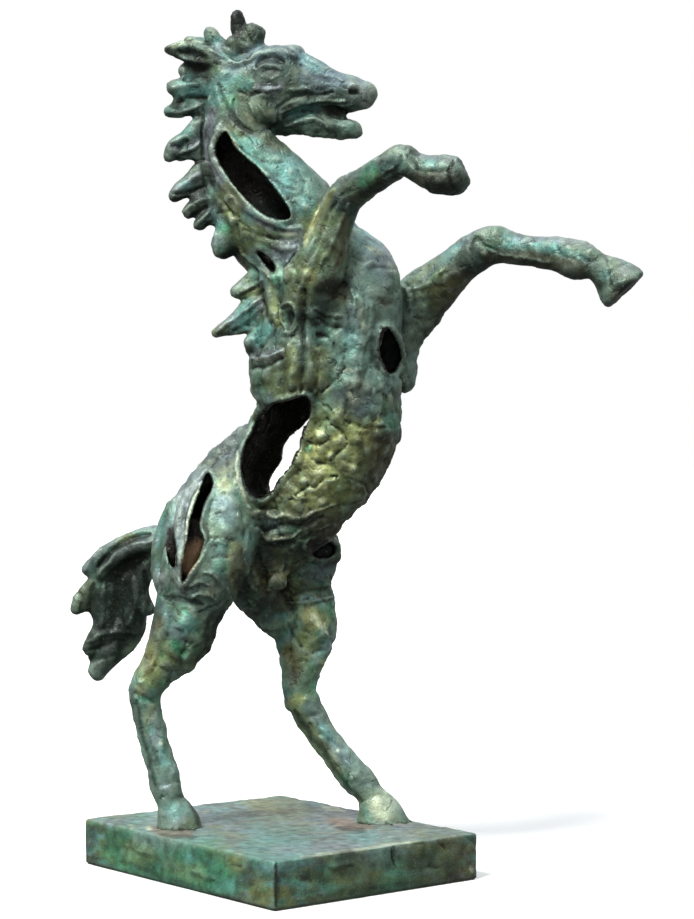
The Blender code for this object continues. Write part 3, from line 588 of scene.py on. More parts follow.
        (1.3, 2.6, (238, 452), (235, 468), (239, 488), (246, 503)),
        (-1.5, 2, (228, 430), (226, 452), (228, 476)), (1.2, 3, (240, 416), (230, 436), (221, 460)),
    ],
    "rump": [
        (1.3, 6, (206, 470), (188, 490), (179, 512), (177, 540), (179, 566), (182, 590)),
        (-1.2, 1.6, (198, 486), (186, 508), (183, 534), (184, 560)),
        (-2.2, 2, (211, 538), (204, 547), (200, 556), (195, 563)), (-2.8, 2.4, (182, 580)),
        (1.5, 2.4, (204, 573), (212, 575), (218, 581)), (1.6, 2.4, (189, 586), (199, 582), (209, 586)),
        (1.6, 2.4, (190, 602), (196, 595), (206, 594), (215, 600)),
        (-2.6, 2.4, (216, 604), (208, 609), (198, 612)), (1.9, 8, (161, 580)),
        (-2.0, 2.4, (168, 556), (170, 574), (168, 592)), (-1.6, 2.2, (212, 500), (207, 520), (209, 538)),
        (-1.6, 2.2, (238, 508), (243, 530), (240, 556)), (1.3, 8, (228, 530)), (1.2, 7, (221, 549)),
        (1.2, 7, (221, 567)), (-1.5, 2, (214, 540), (224, 539), (234, 543)),
        (-1.5, 2, (212, 558), (222, 558), (233, 556)), (1.2, 6, (222, 510)),
    ],
    "thighs and groin": [
        (1.8, 13, (186, 622)), (-2.2, 3, (222, 612), (214, 632), (204, 652)),
        (1.4, 4.6, (166, 616), (160, 642), (151, 668)), (-1.7, 2.6, (187, 642), (178, 662), (164, 684)),
        (1.2, 4, (206, 616), (196, 640), (182, 662)), (-2.6, 4, (163, 597), (180, 600), (202, 605)),
        (-2.6, 5, (256, 548), (261, 570), (268, 594)), (1.6, 3.2, (267, 590), (275, 576), (284, 564)),
        (-2.2, 3, (286, 560), (283, 580), (290, 596)), (1.4, 3, (242, 560), (249, 580), (262, 597)),
        (-1.8, 2.6, (232, 574), (238, 592), (250, 606)), (1.3, 4, (226, 588), (231, 604), (240, 614)),
        (2.2, 3, (288, 603), (310, 602), (331, 598)), (-2.2, 3.2, (290, 594), (310, 592), (329, 588)),
        (-2.2, 2.4, (286, 622), (294, 638), (301, 647)), (1.4, 6, (312, 620)),
        (-1.7, 2, (304, 655), (314, 653), (326, 650)), (1.2, 5, (322, 634)),
        (-1.2, 3, (288, 640), (292, 662), (296, 684)), (1.2, 4, (304, 664), (306, 682)),
        (-1.4, 2, (296, 616), (302, 628), (312, 634)),
    ],
    "hind cannons and hooves": [
        (1.6, 6, (305, 700)), (-1.2, 3.4, (290, 712), (303, 717), (317, 714)),
        (-1.6, 2.4, (308, 724), (316, 736), (324, 752)), (-1.4, 2, (330, 756), (342, 774)),
        (1.3, 4, (322, 728), (330, 738)), (1.4, 3, (338, 750), (340, 758)),
        (-1.4, 2, (328, 732), (336, 744), (346, 752)), (1.2, 3, (345, 762), (352, 770)),
        (1.3, 5, (352, 778)), (-1.2, 3.4, (354, 790), (368, 784), (380, 786)),
        (-1.2, 2.2, (361, 803), (374, 797), (388, 798)), (1.2, 5, (378, 792)),
        (-1.6, 2.4, (147, 722), (151, 744)), (-1.4, 2, (156, 752), (160, 768)),
        (1.3, 4, (154, 714), (158, 728)), (1.4, 3, (160, 744), (162, 752)),
        (-1.3, 2, (162, 728), (168, 742), (167, 756)), (1.2, 3, (168, 764), (172, 776)),
        (-1.2, 3, (158, 786), (168, 784), (178, 782)), (-1.2, 2.2, (160, 800), (172, 796), (184, 798)),
        (-2.0, 3, (134, 692), (141, 698), (152, 703)), (1.5, 5, (141, 682)), (1.2, 4, (165, 790)),
    ],
    "tail": [
        (1.3, 2.6, (155, 526), (130, 530), (110, 540), (97, 553), (84, 571)),
        (-2.8, 2.6, (150, 535), (128, 540), (111, 551), (98, 569)),
        (1.3, 2.6, (158, 541), (126, 548), (109, 562), (99, 575)),
        (-2.6, 5, (146, 560), (128, 566), (116, 578)), (-2.2, 4, (93, 584), (91, 604), (88, 624)),
        (1.6, 5, (104, 582), (103, 605), (100, 626)), (-2.2, 4, (118, 578), (116, 602), (112, 628)),
        (1.5, 6, (133, 578), (135, 604), (128, 626)), (-2.0, 3.4, (144, 572), (149, 596), (146, 622)),
        (1.6, 3.4, (86, 642), (104, 635), (128, 632)), (-1.8, 3, (84, 652), (100, 646), (122, 640)),
        (-1.6, 3, (84, 664), (98, 660), (114, 654)), (-1.8, 3, (78, 592), (82, 604), (80, 616)),
    ],
}
SLAB_STROKES = {
    "side faces": [
        (-1.8, 1.6, (394, 846), (392, 856), (395, 868)), (-1.0, 3, (298, 880), (312, 884)),
        (1.4, 4, (126, 846), (150, 856)), (-1.6, 2, (226, 862), (242, 870)),
        (-1.4, 2, (440, 845), (447, 852)), (1.4, 5, (190, 872), (214, 880)),
        (1.4, 4, (330, 868), (352, 864)), (-1.4, 2.4, (420, 870), (440, 868)),
        (-1.4, 1.4, (275, 866), (274, 888), (275, 906)), (-1.6, 3, (468, 838), (474, 844)),
    ],
    "top": [
        (-1.6, 2, (330, 812), (346, 816)), (-1.4, 1.6, (300, 822), (322, 818)),
        (-1.4, 2, (210, 812), (232, 816), (250, 812)), (1.2, 3, (380, 838), (420, 842)),
        (-1.4, 2, (262, 838), (280, 834)), (-1.4, 2, (430, 826), (446, 830)),
        (-1.4, 2, (120, 822), (140, 824)), (1.2, 4, (290, 846), (312, 842)),
    ],
}

# How rough the clay is: 1 over much of the body, here less or more
ROUGHNESS = [
    (1.2, [(1, 60, (330, 430), (320, 490), (290, 520))]),
    (0.22, [
        (1, 62, (300, 70)), (1, 50, (240, 80), (262, 110)), (1, 40, (340, 100)), (1, 30, (200, 55)),
        (1, 44, (185, 90), (180, 200)), (1, 40, (240, 250), (240, 340)),
    ]),
    (0.4, [(1, 60, (270, 160), (300, 200)), (1, 40, (220, 180), (240, 225))]),
    (0.5, [
        (1, 55, (380, 250), (385, 330)), (1, 60, (320, 250), (400, 165)), (1, 50, (430, 170), (460, 170)),
    ]),
    (0.45, [(1, 60, (420, 290), (500, 250), (640, 270))]),
    (0.6, [(1, 60, (290, 300), (290, 390)), (1, 60, (220, 480), (200, 600))]),
    (0.35, [(1, 70, (70, 560), (140, 540), (110, 660))]),
    (0.5, [(1, 50, (145, 690), (175, 830)), (1, 50, (300, 700), (390, 830))]),
]

# Painted light and shade: how much lighter than its own colour each region is painted where more light falls
# on it, and below 1 how much darker
PAINTED_LIGHT_AND_SHADE = [
    (1.4, [(1, 50, (370, 250), (375, 320), (365, 390))]),
    (1.85, [(1, 50, (330, 430), (320, 490))]),
    (1.6, [(1, 30, (330, 400), (372, 410))]),
    (1.65, [(1, 46, (215, 490), (215, 560))]),
    (0.65, [(1, 26, (226, 430), (208, 462))]),
    (2.3, [(1, 46, (180, 620), (155, 680)), (1, 46, (305, 610), (300, 690))]),
    (1.6, [(1, 36, (150, 710), (172, 815))]),
    (2.0, [(1, 26, (150, 720), (162, 775))]),
    (1.5, [(1, 24, (320, 730), (345, 770))]),
    (1.2, [(1, 30, (360, 200), (400, 170))]),
    (1.25, [(1, 46, (280, 330), (310, 350))]),
    (1.35, [(1, 26, (380, 800)), (1, 30, (330, 740), (350, 770))]),
]

# Patches of colour, laid on in turn: how strong, half width, and marks on the sheet. Most are the patina's
# own colours; layers that also hold painted highlights and painted shade say so
HORSE_PAINT = [
    ("grey green", [
        (0.7, 60, (370, 260), (380, 320), (360, 380)), (0.6, 50, (220, 500), (200, 600)),
        (0.6, 40, (150, 720), (170, 820)), (0.6, 40, (310, 720), (380, 800)),
        (0.4, 40, (290, 310), (280, 370)),
    ]),
    # Deep green: darker patina, and painted shade on the near fore hoof's end face
    ("deep green", [
        (0.8, 60, (270, 80), (330, 95)), (0.8, 46, (195, 60), (185, 130), (190, 230)),
        (0.6, 30, (300, 130), (340, 138)), (0.8, 50, (130, 560), (105, 650)),
        (0.6, 34, (390, 170), (460, 180)), (0.8, 34, (470, 265), (540, 258), (610, 280)),
        (0.4, 40, (290, 300), (290, 380)), (0.6, 26, (252, 112)), (0.7, 8, (172, 60), (190, 68), (208, 70)),
        (0.8, 12, (460, 176)),
    ]),
    ("blue grey", [
        (0.55, 16, (215, 50), (240, 62), (290, 48), (330, 72), (360, 85)), (0.4, 12, (300, 78), (330, 92)),
        (0.35, 20, (370, 240), (385, 280)), (0.5, 12, (300, 575), (330, 570)),
        (0.45, 14, (222, 500), (228, 520)), (0.5, 5, (316, 716), (332, 740), (350, 766)),
        (0.4, 14, (350, 310), (352, 340)), (0.6, 12, (296, 56), (325, 74), (340, 84)),
        (0.35, 30, (285, 175), (305, 200)), (0.4, 20, (336, 400), (370, 404)),
        (0.5, 5, (420, 282), (450, 255), (470, 236)), (0.5, 6, (510, 240), (560, 242)),
    ]),
    # Violet grey: patina, laid along the lit tops of the forelegs and the near fore hoof also as painted
    # highlight
    ("violet grey", [
        (0.5, 6, (255, 86), (270, 89), (282, 86)), (0.5, 10, (352, 84), (366, 96), (366, 108)),
        (0.7, 7, (212, 110), (208, 140), (214, 170), (232, 198), (262, 222), (300, 234)),
        (0.6, 6, (200, 174), (186, 184), (174, 190)), (0.5, 5, (198, 140), (190, 150)),
        (0.4, 8, (176, 146)), (0.5, 12, (172, 812), (176, 822)), (0.4, 24, (372, 236), (390, 262)),
        (0.5, 12, (205, 470), (182, 500), (178, 545), (182, 590)), (0.4, 20, (232, 410), (215, 460)),
        (0.55, 5, (155, 526), (128, 530), (108, 541), (96, 553), (84, 571)),
        (0.5, 4, (158, 541), (126, 548), (108, 563)), (0.5, 10, (161, 580)),
        (0.4, 8, (150, 716), (156, 745)), (0.4, 8, (166, 788)),
        (0.45, 6, (334, 186), (360, 170), (386, 157)), (0.5, 5, (420, 157), (455, 160)),
        (0.4, 12, (372, 232), (392, 268)), (0.4, 4, (525, 240), (560, 240), (590, 246)),
        (0.5, 8, (625, 272)), (0.5, 6, (256, 304), (236, 316), (218, 330)),
        (0.6, 7, (252, 358), (270, 356), (284, 350)), (0.5, 14, (290, 244), (276, 262)),
        (0.5, 5, (262, 300), (256, 318)), (0.5, 4, (158, 752), (164, 766)),
        (0.4, 5, (322, 742), (340, 764)),
    ]),
    ("olive", [
        (0.6, 16, (226, 190), (234, 215)), (0.45, 26, (315, 215), (325, 250), (300, 300)),
        (0.6, 40, (320, 420), (345, 460), (325, 500)), (0.5, 20, (270, 380), (300, 385)),
        (0.5, 16, (258, 112), (250, 120)), (0.4, 8, (264, 136), (290, 152)),
        (0.7, 8, (270, 284), (272, 306), (278, 326)), (0.6, 9, (290, 346), (292, 384)),
        (0.5, 12, (318, 350), (314, 386)), (0.5, 16, (350, 470), (370, 440)),
        (0.5, 10, (230, 545), (238, 590)), (0.5, 18, (430, 300), (445, 285)),
        (0.45, 20, (160, 650), (150, 675)), (0.5, 18, (310, 640), (290, 660)),
        (0.5, 10, (290, 705), (340, 776)), (0.4, 10, (236, 550)), (0.5, 5, (150, 705), (146, 735)),
    ]),
    # Gold olive: patina, laid on lit bulges, the near foreleg's upper edge and the groin also as painted
    # highlight
    ("gold olive", [
        (0.4, 30, (310, 440), (305, 480), (290, 505)), (0.3, 16, (335, 440), (350, 470)),
        (0.6, 4, (303, 246), (313, 224), (324, 204), (334, 190)), (0.5, 10, (308, 276)),
        (0.5, 8, (288, 704), (302, 700)), (0.3, 10, (226, 486)), (0.5, 8, (140, 690)),
        (0.4, 16, (262, 584), (280, 574)), (0.4, 6, (352, 440), (380, 420)),
    ]),
    # Bronze brown: patina, and painted shade below the near foreleg and in the groin's recess
    ("bronze brown", [
        (0.6, 8, (345, 215), (343, 240), (338, 265)), (0.55, 26, (372, 440), (385, 480), (360, 520)),
        (0.5, 20, (310, 520), (340, 530)), (0.6, 14, (325, 290), (345, 292)), (0.5, 8, (385, 302)),
        (0.6, 22, (440, 300), (460, 280)), (0.5, 16, (490, 262), (580, 270)),
        (0.5, 14, (400, 182), (430, 182), (455, 180)), (0.55, 12, (290, 650), (292, 685)),
        (0.5, 10, (238, 545), (236, 590)), (0.6, 8, (160, 618), (152, 650), (146, 672)),
        (0.6, 5, (606, 297), (628, 291), (643, 281)), (0.5, 24, (260, 560), (280, 600)),
        (0.4, 14, (352, 404), (360, 380)),
    ]),
    ("dark green", [
        (0.65, 18, (246, 110), (262, 116)), (0.4, 12, (292, 128), (322, 132)),
        (0.3, 20, (345, 450), (360, 480)),
    ]),
    ("teal", [
        (0.5, 26, (282, 160), (306, 196)), (0.5, 14, (304, 206)), (0.6, 10, (280, 224)),
        (0.5, 10, (250, 216)), (0.5, 14, (200, 88), (180, 90)), (0.45, 10, (190, 118), (180, 145)),
        (0.5, 8, (186, 186)), (0.75, 13, (248, 304), (244, 326)), (0.75, 10, (266, 326), (256, 342)),
        (0.45, 12, (246, 140), (262, 156), (280, 170)),
        (0.35, 6, (500, 246), (530, 247), (560, 252), (584, 258)), (0.4, 8, (300, 58), (322, 72)),
        (0.5, 7, (150, 730)), (0.5, 6, (320, 724), (330, 740)), (0.5, 14, (216, 95)),
        (0.6, 9, (238, 82), (248, 86)), (0.5, 10, (226, 80)), (0.4, 10, (318, 108), (290, 116)),
        (0.35, 18, (368, 240)), (0.4, 6, (420, 164), (442, 166)), (0.5, 8, (506, 240)),
        (0.5, 7, (536, 247), (566, 250)), (0.5, 8, (604, 276)), (0.5, 12, (187, 625)), (0.5, 9, (221, 548)),
        (0.6, 6, (161, 748), (164, 766)), (0.6, 12, (174, 812)), (0.5, 8, (458, 246), (440, 262)),
        (0.4, 10, (350, 330), (352, 360)), (0.4, 6, (220, 56), (240, 60)),
        (0.7, 4, (232, 134), (250, 158), (270, 184), (291, 212)), (0.6, 6, (206, 40), (222, 40)),
        (0.5, 5, (364, 808), (367, 818)), (0.5, 8, (176, 88), (190, 92)), (0.4, 5, (168, 112)),
    ]),
    # Pale teal: painted highlights on the teal patina
    ("pale teal", [
        (0.5, 6, (300, 205)), (0.5, 5, (262, 216), (284, 226)), (0.4, 8, (180, 88)), (0.2, 6, (184, 622)),
        (0.25, 8, (228, 530)), (0.4, 5, (430, 164)),
    ]),
    ("emerald", [
        (0.5, 8, (222, 230)), (0.5, 8, (232, 103)), (0.6, 5, (307, 448)), (0.5, 8, (221, 567)),
        (0.5, 8, (176, 646)), (0.5, 8, (258, 34)), (0.5, 10, (372, 166), (362, 184)), (0.4, 8, (345, 780)),
        (0.4, 8, (490, 244)), (0.4, 10, (320, 612)),
    ]),
    # Gold olive again: gold-olive patina on the far thigh and in the groin, painted bright as highlight
    ("gold olive", [(0.7, 14, (306, 612), (320, 622)), (0.6, 9, (266, 584), (282, 574))]),
    # Cream green: painted highlights on ridges, lumps, rims and hooves
    ("cream green", [
        (0.5, 6, (312, 616), (326, 632)), (0.6, 4, (268, 588), (276, 576), (284, 570)),
        (0.4, 5, (322, 436)), (0.4, 5, (318, 472)), (0.4, 5, (340, 440)), (0.4, 4, (306, 480)),
        (0.35, 5, (332, 458)), (0.35, 4, (300, 446)), (0.35, 4, (322, 500)), (0.3, 5, (352, 470)),
        (0.5, 3, (237, 452), (235, 470), (240, 490), (246, 503)),
        (0.5, 3, (276, 518), (288, 515), (300, 518), (314, 511)),
        (0.6, 4, (250, 514), (262, 513), (275, 518)), (0.5, 3, (262, 535), (276, 538), (292, 535)),
        (0.5, 18, (380, 800), (388, 814)), (0.6, 6, (376, 806)), (0.5, 3, (338, 750)), (0.5, 3, (335, 762)),
        (0.5, 5, (312, 618)), (0.5, 3, (160, 745)), (0.5, 4, (484, 254)), (0.5, 3, (590, 252)),
        (0.4, 5, (232, 218)), (0.5, 3, (300, 236), (280, 232)),
        (0.6, 3, (284, 352), (270, 360), (254, 361)), (0.4, 3, (170, 50), (184, 43), (200, 43)),
        (0.6, 2, (205, 484), (192, 504), (185, 530), (181, 560), (184, 590)),
        (0.25, 4, (190, 608), (196, 616)), (0.4, 4, (214, 584), (206, 596)),
        (0.5, 3, (210, 596), (218, 590)), (0.5, 3, (340, 370), (352, 372)),
        (0.4, 3, (360, 300), (362, 330)), (0.4, 3, (348, 392), (352, 404)),
        (0.5, 3, (366, 246), (378, 254)), (0.4, 3, (386, 262), (394, 272)),
        (0.25, 3, (263, 112), (276, 114)), (0.4, 3, (246, 114), (252, 120)), (0.4, 4, (300, 40), (286, 46)),
    ]),
    # Black green, laid on last: painted shade under the locks, the brow, the mouth and the hooves, down the
    # shaded sides of the legs, in the groin, round the far thigh's pocket and in the tail's hollow; also the
    # tufts' own dark patina
    ("black green", [
        (1.0, 15, (238, 2), (238, 36)), (0.85, 13, (256, 34)), (0.6, 8, (184, 54), (204, 57)),
        (0.8, 5, (166, 50), (173, 54)), (0.9, 6, (186, 66), (200, 67), (210, 66)),
        (0.5, 4, (222, 42), (234, 38)), (0.5, 4, (184, 37)), (0.5, 4, (205, 34), (212, 34)),
        (0.35, 20, (256, 122), (270, 112)), (0.5, 9, (196, 84)), (0.7, 5, (178, 103)),
        (0.9, 5, (186, 117), (197, 113)), (0.8, 4, (178, 148)), (0.9, 5, (200, 162), (182, 166)),
        (0.9, 6, (204, 192), (190, 199), (172, 201)), (0.85, 7, (204, 212), (190, 218)),
        (0.8, 6, (208, 224), (198, 229)), (1.0, 9, (238, 254), (224, 258)),
        (0.6, 3, (202, 106), (201, 140), (203, 170), (206, 200), (212, 224)),
        (0.6, 6, (257, 68), (265, 61), (276, 60), (284, 64)), (0.5, 4, (262, 73), (280, 73)),
        (0.9, 6, (325, 111), (336, 110), (350, 113)), (0.5, 4, (378, 332), (374, 350), (378, 370)),
        (0.7, 4, (404, 294), (408, 312)), (0.6, 4, (414, 301), (432, 298)),
        (0.6, 12, (262, 548), (300, 546)), (0.7, 8, (224, 612), (213, 640), (197, 664)),
        (0.7, 3, (136, 700), (142, 734), (150, 768), (156, 790)), (0.4, 2.5, (150, 740), (156, 760)),
        (0.6, 3, (174, 722), (181, 756), (186, 782)),
        (0.8, 4, (294, 712), (308, 732), (328, 760), (350, 790)), (0.4, 2.5, (318, 738), (328, 750)),
        (0.5, 3, (330, 712), (350, 742), (370, 768)), (0.7, 4, (187, 800), (195, 814), (197, 826)),
        (0.5, 2, (160, 800), (184, 797)), (0.7, 3, (352, 790), (362, 801)),
        (0.6, 10, (480, 268), (520, 270), (560, 276), (590, 284)),
        (0.6, 9, (438, 322), (460, 302), (484, 280)), (0.7, 6, (612, 293), (632, 288), (643, 280)),
        (0.6, 8, (360, 196), (395, 180)), (0.8, 4, (452, 162), (449, 176), (452, 190)),
        (0.5, 9, (462, 176)), (0.4, 8, (410, 150)), (0.85, 12, (426, 184), (440, 190), (456, 190)),
        (0.6, 5, (213, 476), (205, 500), (200, 520), (207, 538)),
        (0.7, 5, (164, 598), (182, 601), (203, 606)),
        (0.7, 1.8, (198, 488), (187, 508), (184, 534), (184, 560)), (0.8, 10, (240, 576), (246, 596)),
        (0.6, 10, (230, 118), (246, 132)), (0.5, 12, (268, 140), (278, 150)),
        (0.7, 12, (316, 290), (345, 286)), (0.8, 5, (176, 60), (190, 66), (208, 68)), (0.4, 9, (270, 70)),
        (0.4, 9, (354, 92)), (0.6, 5, (262, 526), (290, 524), (318, 517)), (0.5, 5, (264, 546), (292, 542)),
        (0.4, 3, (305, 292), (303, 330), (301, 388)), (0.5, 4, (281, 284), (280, 302)),
        (0.5, 4, (254, 368), (280, 360)), (0.6, 3, (262, 286), (266, 318)),
        (0.35, 5, (346, 400), (343, 425)), (0.6, 16, (320, 552), (336, 560)),
        (0.85, 11, (308, 552), (330, 549)), (0.7, 20, (262, 606), (285, 598)),
        (0.6, 12, (262, 548), (270, 566)), (0.5, 8, (296, 590), (330, 590)),
        (0.6, 3, (296, 616), (290, 640)), (0.7, 4, (150, 535), (112, 551), (97, 570)),
        (0.9, 22, (140, 558), (118, 580)), (0.7, 30, (130, 590), (110, 640)),
        (0.5, 30, (90, 600), (100, 660)), (0.5, 20, (150, 600), (140, 630)),
        (0.6, 8, (395, 178), (415, 176)), (0.5, 10, (626, 290)), (0.3, 6, (300, 290), (302, 340)),
        (0.6, 10, (215, 612), (206, 640)),
    ]),
]
SLAB_PAINT = [
    ("emerald", [(0.6, 50, (120, 850), (220, 880)), (0.3, 40, (330, 880), (440, 862))]),
    ("gold olive", [
        (0.25, 16, (126, 850), (150, 858)), (0.2, 14, (180, 872), (200, 876)), (0.2, 14, (236, 866)),
        (0.25, 20, (250, 800), (300, 812)),
    ]),
    ("teal", [
        (0.5, 30, (250, 850), (300, 850)), (0.6, 12, (350, 836), (372, 838)), (0.5, 10, (190, 858)),
        (0.5, 12, (228, 888)), (0.4, 12, (300, 892)), (0.4, 12, (372, 860)), (0.5, 5, (356, 822)),
    ]),
    ("bronze brown", [
        (0.5, 14, (330, 820), (355, 826)), (0.2, 26, (262, 806), (300, 830)),
        (0.5, 30, (340, 870), (370, 876)), (0.5, 40, (420, 862), (460, 860)), (0.4, 8, (386, 826)),
        (0.5, 6, (470, 866)), (0.4, 12, (170, 866)),
    ]),
    ("violet grey", [
        (0.4, 26, (140, 836), (200, 826)), (0.3, 40, (330, 810), (400, 840)),
        (0.4, 8, (270, 852), (360, 846)),
    ]),
    ("soil", [
        (0.6, 6, (330, 821), (350, 826), (372, 828)), (0.6, 6, (150, 829), (165, 834), (190, 834)),
        (0.4, 6, (396, 824), (410, 820)),
    ]),
    # Cream green: painted highlights on the crumbs and along the top's edge
    ("cream green", [
        (0.6, 3, (148, 829)), (0.6, 3, (130, 828)), (0.6, 3, (400, 820)), (0.6, 3, (471, 870)),
        (0.5, 3, (322, 808), (344, 812)), (0.4, 2, (300, 858), (360, 850), (420, 842)),
    ]),
    # Black green, laid on last: dark trowel streaks, and painted shade along the slab's lower edges, at its
    # front corner and below the mounds
    ("black green", [
        (0.35, 12, (106, 844), (126, 842)), (0.35, 16, (150, 866)), (0.35, 10, (196, 856), (214, 862)),
        (0.5, 12, (245, 880)), (0.9, 3, (275, 864), (275, 908)), (0.5, 10, (306, 878), (320, 872)),
        (0.5, 12, (345, 858)), (0.5, 14, (410, 864), (430, 860)), (0.5, 10, (452, 874)),
        (0.5, 4, (120, 862), (180, 884), (240, 902)), (0.4, 5, (300, 902), (380, 890), (460, 880)),
        (0.4, 8, (90, 830), (90, 850)), (0.7, 2.5, (394, 848), (393, 866)),
        (0.5, 3, (336, 828), (366, 832)), (0.5, 3, (160, 836), (196, 838)),
    ]),
]
INNER_PAINT = [
    ("rust", [(0.9, 14, (196, 545), (190, 572))]),
    ("deep green", [
        (0.6, 14, (394, 340), (396, 365)), (0.4, 16, (260, 205), (275, 215)), (0.5, 9, (325, 550)),
    ]),
]

# Plates of metal seen inside the slit of the rump
INNER_PLATES = [[(-78, 300, -58, 12, 7), (-84, 278, -62, 12, 7), (-90, 254, -62, 9, 7)]]

# Floor, light and camera
FLOOR_RADIUS, FLOOR_SIDES = 40, 96
PAPER_COLOUR, PAPER_ROUGHNESS = (0.86, 0.86, 0.85, 1), 0.9
LOW_LIGHT, HIGH_LIGHT, BACKDROP_LIGHT = 0.16, 0.85, 1.0
LIGHT_SPAN = (-0.5, 1.0)
# Lights: name, colour, strength, how wide in degrees, and where from: right, away and up
LIGHTS = [
    ("key", (1.0, 0.99, 0.96), 4.0, 14, (-0.65, -0.85, 1.3)),
    ("top", (0.85, 0.93, 1.0), 1.3, 90, (0.1, 0.3, 1.0)),
]
CAMERA_LENS, CAMERA_SENSOR = 94.0, 36
CAMERA_PLACE = (2.8906, -2.2243, 0.6709)
CAMERA_TURN, CAMERA_DIP = 50.763, 0.688


def between(a, b, c, d, t):
    """A smooth curve's value the share t of the way from b to c, with a and d the values beside them."""
    square = (2 * a - 5 * b + 4 * c - d) * t**2
    cube = (3 * b - a - 3 * c + d) * t**3
    return 0.5 * (2 * b + (c - a) * t + square + cube)


def curve_through(stations, steps, closed=False):
    """The stations with more between them, on a smooth curve through all of them."""
    filled = []
    count = len(stations)
    for i in range(count if closed else count - 1):
        around = (i - 1, i, i + 1, i + 2)
        corners = [stations[k % count if closed else min(max(k, 0), count - 1)] for k in around]
        for step in range(steps):
            filled.append([between(*values, step / steps) for values in zip(*corners)])
    return filled if closed else filled + [list(stations[-1])]


def round_end(section, sign, steps=4):
    """Sections that close a form with a dome as deep as the form is thick."""
    place, along, wide, thick, half_width, half_thickness = section
    depth = min(half_width, half_thickness)
    dome = []
    for step in range(1, steps + 1):
        a = step / (steps + POLE_GAP) * pi / 2
        centre = place + along * sign * depth * sin(a)
        dome.append((centre, along, wide, thick, half_width * cos(a), half_thickness * cos(a)))
    return dome


def round_angles(sides):
    return [2 * pi * k / sides for k in range(sides)]


def bridge(clay, rings, closed=False):
    """Faces between neighbouring rings of vertices, capped at the ends unless the rings close up."""
    pairs = list(zip(rings, rings[1:] + rings[:1])) if closed else list(zip(rings, rings[1:]))
    for low, high in pairs:
        for k in range(len(low)):
            after = (k + 1) % len(low)
            clay.faces.new((low[k], low[after], high[after], high[k]))
    if not closed:
        clay.faces.new(rings[0][::-1])
        clay.faces.new(rings[-1])


def add_form(clay, stations, left=AWAY, steps=4, sides=20, flat_end=False, inset=0.0):
    """Adds a closed, round-ended form whose sections are ellipses along the stations."""
    filled = curve_through(stations, steps)
    places = [at(*station[:3]) for station in filled]
    sections = []
    for i, (place, station) in enumerate(zip(places, filled)):
        along = (places[min(i + 1, len(places) - 1)] - places[max(i - 1, 0)]).normalized()
        thick = (left - along * left.dot(along)).normalized()
        half_width, half_thickness = (max(half * SQUARE - inset, SQUARE) for half in station[3:5])
        sections.append((place, along, along.cross(thick), thick, half_width, half_thickness))
    sections = round_end(sections[0], -1)[::-1] + sections
    if not flat_end:
        sections += round_end(sections[-1], 1)
    bridge(clay, [
        [
            clay.verts.new(place + wide * half_width * cos(a) + thick * half_thickness * sin(a))
            for a in round_angles(sides)
        ]
        for place, _, wide, thick, half_width, half_thickness in sections
    ])


def add_ring(clay, places, radius, sides=8):
    """Adds a closed loop of round section through the places."""
    rings = []
    for before, place, after in zip(places[-1:] + places[:-1], places, places[1:] + places[:1]):
        along = (after - before).normalized()
        across = along.cross(AWAY).normalized()
        rings.append([
            clay.verts.new(place + (across * cos(a) + along.cross(across) * sin(a)) * radius)
            for a in round_angles(sides)
        ])
    bridge(clay, rings, closed=True)


def outline_of(name):
    """The outline of an opening as a smooth closed curve."""
    return curve_through(WINDOWS[name]["outline"], CURVE_STEPS, closed=True)


def add_window(clay, outline, away):
    """Adds a prism that follows the lines of sight through an outline."""
    edge = curve_through(outline, CUT_STEPS, closed=True)
    bridge(clay, [[clay.verts.new(at(right, up, depth)) for right, up in edge] for depth in away])


def on_head(stations, side=1):
    """Stations on the head, whose third number is how far out from its middle plane they are."""
    placed = []
    for right, up, out, *halves in stations:
        middle = POLL_AWAY - HEAD_SLANT * (right - POLL_RIGHT)
        across, away = sin(HEAD_TURN) * out * side, cos(HEAD_TURN) * out * side
        placed.append((right + across, up, middle + away, *halves))
    return placed


def far_lock(stations):
    """The lock behind another one, on the far side of the crest: as high, but shorter and thinner."""
    root, tip = stations[0], stations[-1]
    lock = []
    for share in (0, 0.5, 1):
        right, up = (root[k] + share * FAR_LOCK_LENGTH * (tip[k] - root[k]) for k in (0, 1))
        halves = [(1 - taper * share) * half for taper, half in zip(FAR_LOCK_TAPER, root[3:])]
        lock.append((right, up, root[2] + FAR_LOCK_AWAY, *halves))
    return lock


def new_clay(mesh=None):
    """An empty mesh to build in, or one that starts as a copy."""
    clay = bmesh.new()
    if mesh is not None:
        clay.from_mesh(mesh)
    return clay


def mesh_object(name, clay):
    """Turns the clay into a mesh object of that name."""
    bmesh.ops.recalc_face_normals(clay, faces=clay.faces)
    mesh = bpy.data.meshes.new(name)
    clay.to_mesh(mesh)
    clay.free()
    return shown(name, mesh)


def shown(name, data):
    """A new object of that name in the scene."""
    obj = bpy.data.objects.new(name, data)
    bpy.context.scene.collection.objects.link(obj)
    return obj


def modifier(obj, kind, **settings):
    made = obj.modifiers.new(kind.title(), kind)
    for name, value in settings.items():
        setattr(made, name, value)
    return made


def fuse(obj, grain, rounds):
    """Melts the overlapping forms of an object into one skin and smooths it."""
    modifier(obj, "REMESH", mode="VOXEL", voxel_size=grain)
    modifier(obj, "SMOOTH", factor=0.5, iterations=rounds)


def finished_mesh(obj):
    """The mesh that the object's modifiers make."""
    bpy.context.view_layer.update()
    graph = bpy.context.evaluated_depsgraph_get()
    return bpy.data.meshes.new_from_object(obj.evaluated_get(graph))


def settle(obj):
    """Turns what the object's modifiers make into its own mesh."""
    obj.data = finished_mesh(obj)
    obj.modifiers.clear()


